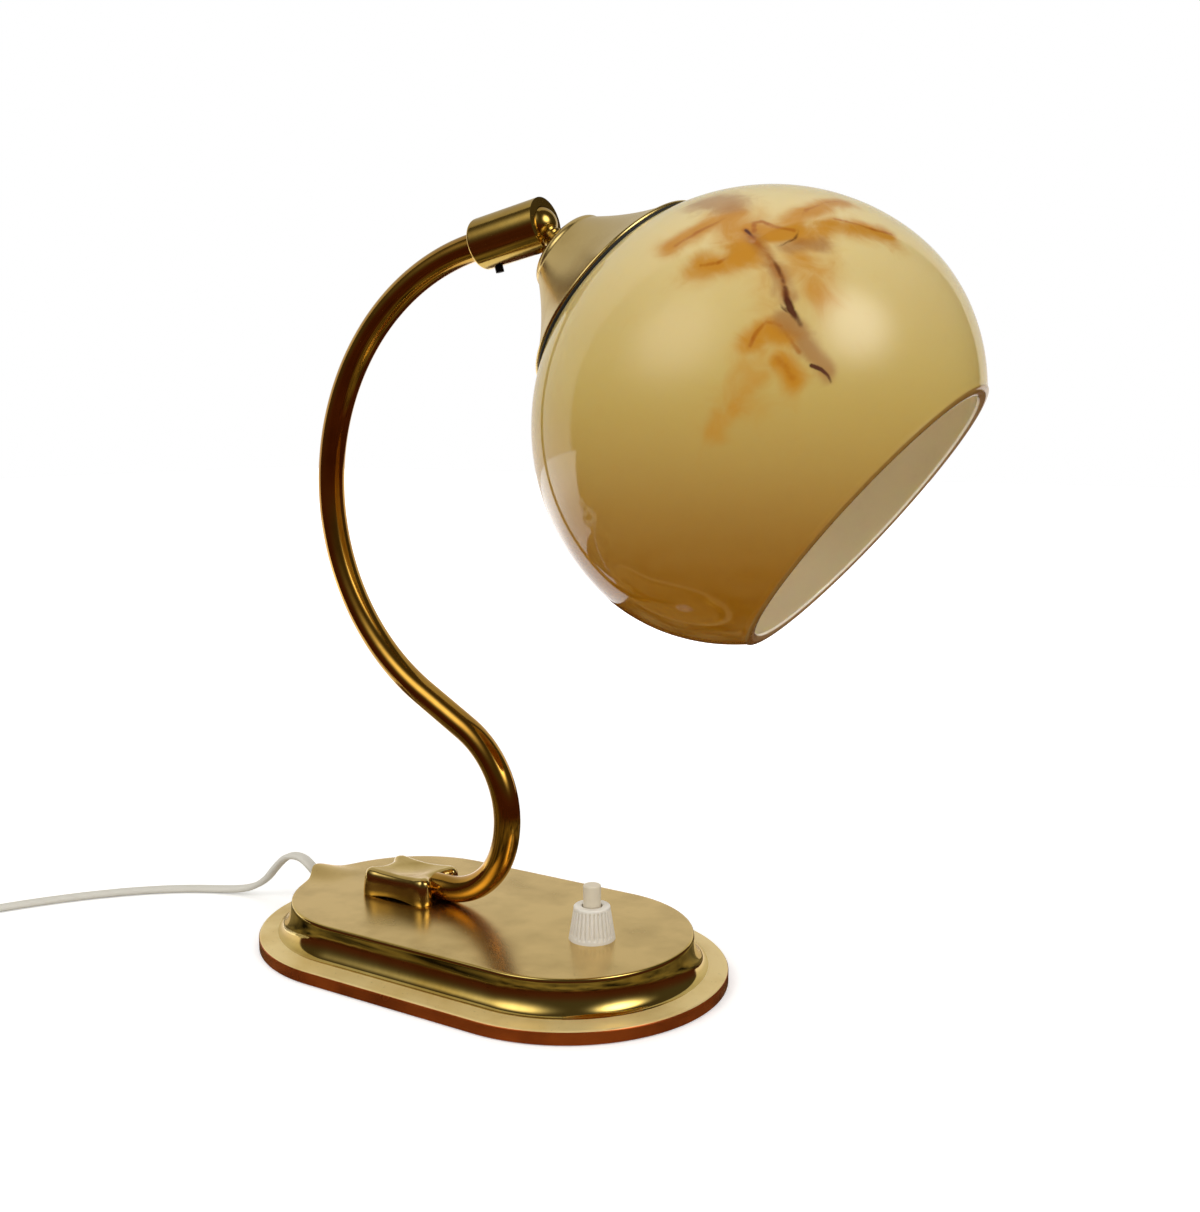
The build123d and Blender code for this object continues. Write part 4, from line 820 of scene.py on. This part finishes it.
def trail_field(points, trails):
    """Strength of trails at points: the largest of strength · exp(-(distance / half width)²) over all.

    The distance is to the nearest point of a straight stretch, and the points are first shifted by a few
    sines of their place, so that the trails wander as poured glass does.
    """
    wander = np.sin(points[..., [1, 2, 0]] / 2.3) * 0.35 + np.sin(points[..., [2, 0, 1]] / 5.1 + 1) * 0.8
    points = points + wander
    best = np.zeros(points.shape[:-1])
    for half_width, strength, places in trails:
        knots = on_globe(*np.array(places).T)
        for start, end in zip(knots, knots[1:]):
            along = end - start
            share = np.clip((points - start) @ along / (along @ along), 0, 1)
            gap = np.linalg.norm(points - start - share[..., None] * along, axis=-1)
            best = np.maximum(best, strength * np.exp(-((gap / half_width) ** 2)))
    return best


# The grid is finer where the marbling lies. The outer and inner walls stop short of the mouth, and the lip
# joins them in a half round.
hole_radius = 14.8
marbled_from, marbled_to = 8, 92
marbled_back, marbled_front = 136, 66
short_out, short_in = 1.4, 1.6
fine = np.linspace(marbled_from, marbled_to, 230)
coarse = np.linspace(marbled_to, marbled_from + 360, 90)[1:-1]
globe_turns = np.concatenate([fine, coarse])
hole = 180 - np.degrees(np.arcsin(hole_radius / globe_radius))
hole_in = 180 - np.degrees(np.arcsin(hole_radius / (globe_radius - glass_wall)))
mouth = np.degrees(np.arccos(globe_mouth / globe_front)) + short_out
mouth_in = np.degrees(np.arccos(globe_mouth / (globe_front - glass_wall))) + short_in
outside = np.concatenate([
    np.linspace(hole, marbled_back, 22),
    np.linspace(marbled_back, marbled_front, 172)[1:],
    np.linspace(marbled_front, mouth, 16)[1:],
])
inside = np.concatenate([np.linspace(mouth_in, 100, 24), np.linspace(100, hole_in, 24)[1:]])
globe_out = on_globe(globe_turns[:, None] + 0 * outside, outside + 0 * globe_turns[:, None])
globe_in = on_globe(globe_turns[:, None] + 0 * inside, inside + 0 * globe_turns[:, None], glass_wall)
lip_count, lip_crest, lip_width, lip_fullness = 12, 5, 5.0, 0.7
lip_turn = np.radians(np.linspace(0, 180, lip_count + 2)[1:-1])[:, None]
lip_middle = (globe_out[:, -1:] + globe_in[:, :1]) / 2
lip_half = (globe_out[:, -1:] - globe_in[:, :1]) / 2
lip_depth = globe_mouth - ((lip_middle - globe_centre) @ shade_axis)[..., None]
lip = lip_middle + np.cos(lip_turn) * lip_half + np.sin(lip_turn) ** lip_fullness * lip_depth * shade_axis
globe_grid = np.concatenate([globe_out, lip, globe_in], axis=1)
columns = np.arange(globe_grid.shape[1])
skin_side = 1.0 * (columns < len(outside) + lip_count // 2)
lip_share = np.exp(-(((columns - len(outside) - lip_crest) / lip_width) ** 4))
fields = {
    "inside": np.broadcast_to(1 - skin_side, globe_grid.shape[:2]),
    "lip": np.broadcast_to(lip_share, globe_grid.shape[:2]),
    "amber": trail_field(globe_grid, amber_trails) * skin_side,
    "mauve": trail_field(globe_grid, mauve_trails) * skin_side,
    "rust": trail_field(globe_grid, rust_trails) * skin_side,
    "vein": trail_field(globe_grid, vein_trails) * skin_side,
}
make_piece(
    "marbled_globe", globe_grid, globe_glass, "shade", ("glass_shade",), fields=fields,
)


# Push switch: a fluted nut and its button

flutes, flute_deep, flute_wide = 28, 0.7, 0.55
flute_low, flute_high, flute_run, flute_inmost = 1.2, 11.2, 0.7, 6.2
nut_bore, nut_top_bore = 5.05, 3.8
flute_angle = full_turn(flutes * 14)
# Profiles of both, by height over the deck and radius
nut_profile = np.concatenate([
    run((0, 8.4), (1.4, 8.2), 4),
    run((1.4, 8.2), (10.6, 6.75), 14),
    run((10.6, 6.75), (11.6, 6.6), 3),
    sweep_arc((11.6, 6.0), (0.6, 0.6), 90, 0, 5),
    run((12.2, 6.0), (12.2, 3.9), 4),
    run((12.1, nut_top_bore), (9.0, nut_top_bore), 3),
    run((9.0, nut_bore), (0, nut_bore), 3),
    [(0, nut_bore)],
])
nut_grid = turned(nut_profile, switch_place, UP, AHEAD, flute_angle)
nut_rise, nut_out = nut_profile.T
in_flutes = eased((nut_rise - flute_low) / flute_run) * eased((flute_high - nut_rise) / flute_run)
in_flutes = in_flutes * (nut_out > flute_inmost)
flute_depth = flute_deep * np.exp(-((np.sin(flutes / 2 * flute_angle) / flute_wide) ** 2))
outwards = np.column_stack([np.cos(flute_angle), np.sin(flute_angle), 0 * flute_angle])
nut_grid -= (flute_depth[:, None] * in_flutes[None, :])[..., None] * outwards[:, None, :]
make_piece("switch_fluted_nut", nut_grid, cream_plastic, "base", ("switch_nut",))

# The button ends above the deck, far enough to stay clear of it when it is pressed.
button_low, button_edge, button_top = 3.9, 19.2, 19.8
button_radius, button_round = 3.2, 0.6
button_profile = np.concatenate([
    run((button_low, 0), (button_low, button_radius), 2),
    run((button_low, button_radius), (button_edge, button_radius), 6),
    sweep_arc((button_edge, button_radius - button_round), (button_round, button_round), 90, 8, 7),
    run((19.75, 2.5), (button_top, 0), 4),
    [(button_top, 0)],
])
make_piece(
    "switch_button", turned(button_profile, switch_place, UP, AHEAD, full_turn(64)),
    ivory_plastic, "plunger", ("switch_plunger",), (True, False),
)


# Floor, surroundings and light


def seen_rays(tree):
    """A value that is 1 for rays that show a thing: from the camera, off a gloss or through glass."""
    rays = add_node(tree, "ShaderNodeLightPath").outputs
    seen = rays["Is Camera Ray"]
    for kind in ("Is Glossy Ray", "Is Transmission Ray"):
        seen = add_node(tree, "ShaderNodeMath", {0: seen, 1: rays[kind]}, operation="MAXIMUM").outputs[0]
    return seen


def stage_sheet(name, grid, material, **fields):
    """A sheet of the studio, in metres: a grid of points, rows by columns, with fields at its points."""
    rows, columns = grid.shape[:2]
    first = (np.arange(rows - 1)[:, None] * columns + np.arange(columns - 1)[None, :]).ravel()
    mesh = bpy.data.meshes.new(name)
    faces = np.column_stack([first, first + columns, first + columns + 1, first + 1])
    mesh.from_pydata(grid.reshape(-1, 3), [], faces)
    keep_fields(mesh, fields)
    mesh.materials.append(material)
    sheet = bpy.data.objects.new(name, mesh)
    bpy.context.collection.objects.link(sheet)
    return sheet


def only_in_gloss(sheet):
    """Leaves a sheet to be seen in reflections alone: it neither shows, shades nor lights anything else."""
    sheet.visible_camera = False
    sheet.visible_diffuse = False
    sheet.visible_transmission = False
    sheet.visible_shadow = False


def from_camera(swing, height):
    """Direction by its swing from the camera's side and its height, in degrees.

    It is (sin t · cos h, -cos t · cos h, sin h), with t the camera's turn and the swing together.
    """
    turn, lift = np.radians(camera_turn + swing), np.radians(height)
    return np.stack([np.sin(turn) * np.cos(lift), -np.cos(turn) * np.cos(lift), np.sin(lift)], axis=-1)


def glowing(name):
    """A material that only gives off light, with its tree and its emission shader."""
    material = bpy.data.materials.new(name)
    material.use_nodes = True
    tree = material.node_tree
    tree.nodes.remove(tree.nodes["Principled BSDF"])
    shine = add_node(tree, "ShaderNodeEmission")
    tree.links.new(shine.outputs[0], tree.nodes["Material Output"].inputs["Surface"])
    return material, tree, shine


# White paper, lit near the lamp so that it keeps the shadow, and plain white further off.
floor_paint, tree, shader, place = start_material("matt_white_paper", "#F2F1EE", Roughness=0.9)
reach = add_node(tree, "ShaderNodeVectorMath", {0: place}, operation="LENGTH")
far = add_node(
    tree,
    "ShaderNodeMapRange",
    {"Value": reach.outputs["Value"], "From Min": 0.25, "From Max": 0.7, "To Min": 0.35, "To Max": 1.0},
    interpolation_type="SMOOTHSTEP",
)
glow = add_node(tree, "ShaderNodeMath", {0: seen_rays(tree), 1: far.outputs[0]}, operation="MULTIPLY")
shader.inputs["Emission Color"].default_value = (1.0, 1.0, 1.0, 1.0)
tree.links.new(glow.outputs[0], shader.inputs["Emission Strength"])
floor_side = [-4.0, 4.0]
floor_x, floor_y = np.meshgrid(floor_side, floor_side, indexing="ij")
stage_sheet("studio_floor", np.stack([floor_x, floor_y, 0 * floor_x], axis=-1), floor_paint)

world = bpy.data.worlds.new("studio")
bpy.context.scene.world = world
world.use_nodes = True
tree = world.node_tree
backdrop = tree.nodes["Background"]
backdrop.inputs["Color"].default_value = (1.0, 1.0, 1.0, 1.0)
level = add_node(tree, "ShaderNodeMapRange", {"Value": seen_rays(tree), "To Min": 0.5, "To Max": 1.0})
tree.links.new(level.outputs[0], backdrop.inputs["Strength"])

# The room, seen only in the brass and the glass: brown and dim round the camera, with two soft boxes, and
# pale behind the lamp.
room_paint, tree, shine = glowing("dim_brown_room")
lit = add_node(tree, "ShaderNodeAttribute", attribute_name="soft_box").outputs["Fac"]
above = add_node(tree, "ShaderNodeAttribute", attribute_name="above_table").outputs["Fac"]
wall = add_node(
    tree, "ShaderNodeMix", {0: above, 6: linear("#4C281A"), 7: linear("#4A4434")}, data_type="RGBA"
)
warm_white = (1.0, 0.98, 0.9, 1.0)
hue = add_node(tree, "ShaderNodeMix", {0: lit, 6: wall.outputs[2], 7: warm_white}, data_type="RGBA")
power = add_node(tree, "ShaderNodeMapRange", {"Value": lit, "To Min": 1.0, "To Max": 4.6})
tree.links.new(hue.outputs[2], shine.inputs["Color"])
tree.links.new(power.outputs[0], shine.inputs["Strength"])

swing, height = np.meshgrid(np.linspace(-180, 180, 241), np.linspace(-1, 89, 61), indexing="ij")
room_radius = 1.5
room_grid = room_radius * from_camera(swing, height)


def soft_box(at_swing, at_height, half_wide, half_high, strength):
    """Glow of a soft box over the room: strength · exp(-d³), with d the distance in the box's half sizes."""
    off = ((swing - at_swing) / half_wide) ** 2 + ((height - at_height) / half_high) ** 2
    return strength * np.exp(-(off**1.5))


# The pale part fades upwards in two steps. It begins at 107 degrees on the left and 130 on the right.
pale_back = 0.38 - 0.075 * eased((height - 1) / 14) - 0.085 * eased((height - 15) / 30)
pale_back *= eased((-swing - 107) / 2) + eased((swing - 130) / 2)
room_glow = soft_box(-50, 44, 31, 21, 0.62) + soft_box(50, 40, 23, 18, 1.0) + pale_back
room = stage_sheet("dim_room", room_grid, room_paint, soft_box=room_glow, above_table=eased(height / 22))
only_in_gloss(room)

# A dark red-brown table top for the same reflections, patchy and olive near the base. To the left behind the
# lamp it ends close by, and straight behind on that side there is none.
table_paint, tree, shine = glowing("dark_table_top")
place = add_node(tree, "ShaderNodeTexCoord").outputs["Object"]
near = add_node(tree, "ShaderNodeAttribute", attribute_name="near_base").outputs["Fac"]
blotch = add_node(tree, "ShaderNodeTexNoise", {"Vector": place, "Scale": 1 / (45 * MM), "Detail": 3.0})
patch = add_node(
    tree, "ShaderNodeMapRange", {"Value": blotch.outputs["Fac"], "From Min": 0.36, "From Max": 0.64}
)
tones = []
for far_tone, near_tone in (("#2A1409", "#17130C"), ("#5A301C", "#8C7E54")):
    tone = add_node(
        tree, "ShaderNodeMix", {0: near, 6: linear(far_tone), 7: linear(near_tone)}, data_type="RGBA"
    )
    tones.append(tone.outputs[2])
grained = add_node(tree, "ShaderNodeMix", {0: patch.outputs[0], 6: tones[0], 7: tones[1]}, data_type="RGBA")
tree.links.new(grained.outputs[2], shine.inputs["Color"])

# Rays of the table top run from under the rim of the base, in metres, and lie just above the paper.
table_inner, table_above = 0.0572, 0.0003
table_near_end, table_cut_short = 0.22, 0.002
left_behind, straight_behind = -106, -140
table_out = circle(np.append(full_turn(144), 0))
table_start = table_inner * table_out + base_end * MM * np.tanh(table_out[:, :1] * 40) * [1, 0]
table_swing = np.degrees(np.arctan2(table_out[:, 0], -table_out[:, 1])) - camera_turn
table_swing = (table_swing + 180) % 360 - 180
table_reach = np.where(table_swing < left_behind, table_near_end, room_radius)
table_span = table_reach[:, None] * table_out - table_start
table_length = np.linalg.norm(table_span, axis=1)
table_length = np.where(table_swing < straight_behind, table_cut_short, table_length)
table_steps = np.minimum([0.0, 0.085, 0.17, room_radius], table_length[:, None])
table_grid = np.full((*table_steps.shape, 3), table_above)
table_grid[..., :2] = table_start[:, None] + table_steps[..., None] * unit(table_span)[:, None]
near_base = np.broadcast_to([1.0, 1.0, 0.0, 0.0], table_steps.shape)
only_in_gloss(stage_sheet("table_top", table_grid, table_paint, near_base=near_base))


def soft_light(name, swing, height, distance, size, watts):
    """A square area light by its swing from the camera and its height in degrees, turned to the lamp."""
    aim = (0.03, 0.0, 0.13)
    data = bpy.data.lights.new(name, "AREA")
    data.size = size
    data.energy = watts
    lamp = bpy.data.objects.new(name, data)
    bpy.context.collection.objects.link(lamp)
    lamp.location = from_camera(swing, height) * distance + aim
    lamp.rotation_euler = (np.pi / 2 - np.radians(height), 0.0, np.radians(camera_turn + swing))
    lamp.visible_camera = False
    lamp.visible_glossy = False


soft_light("left_soft_box", -48, 40, 1.2, 0.8, 5.0)
soft_light("right_soft_box", 44, 32, 1.2, 0.8, 4.5)
soft_light("overhead", 180, 70, 1.3, 1.0, 3.0)

bpy.context.scene.view_settings.view_transform = "Standard"
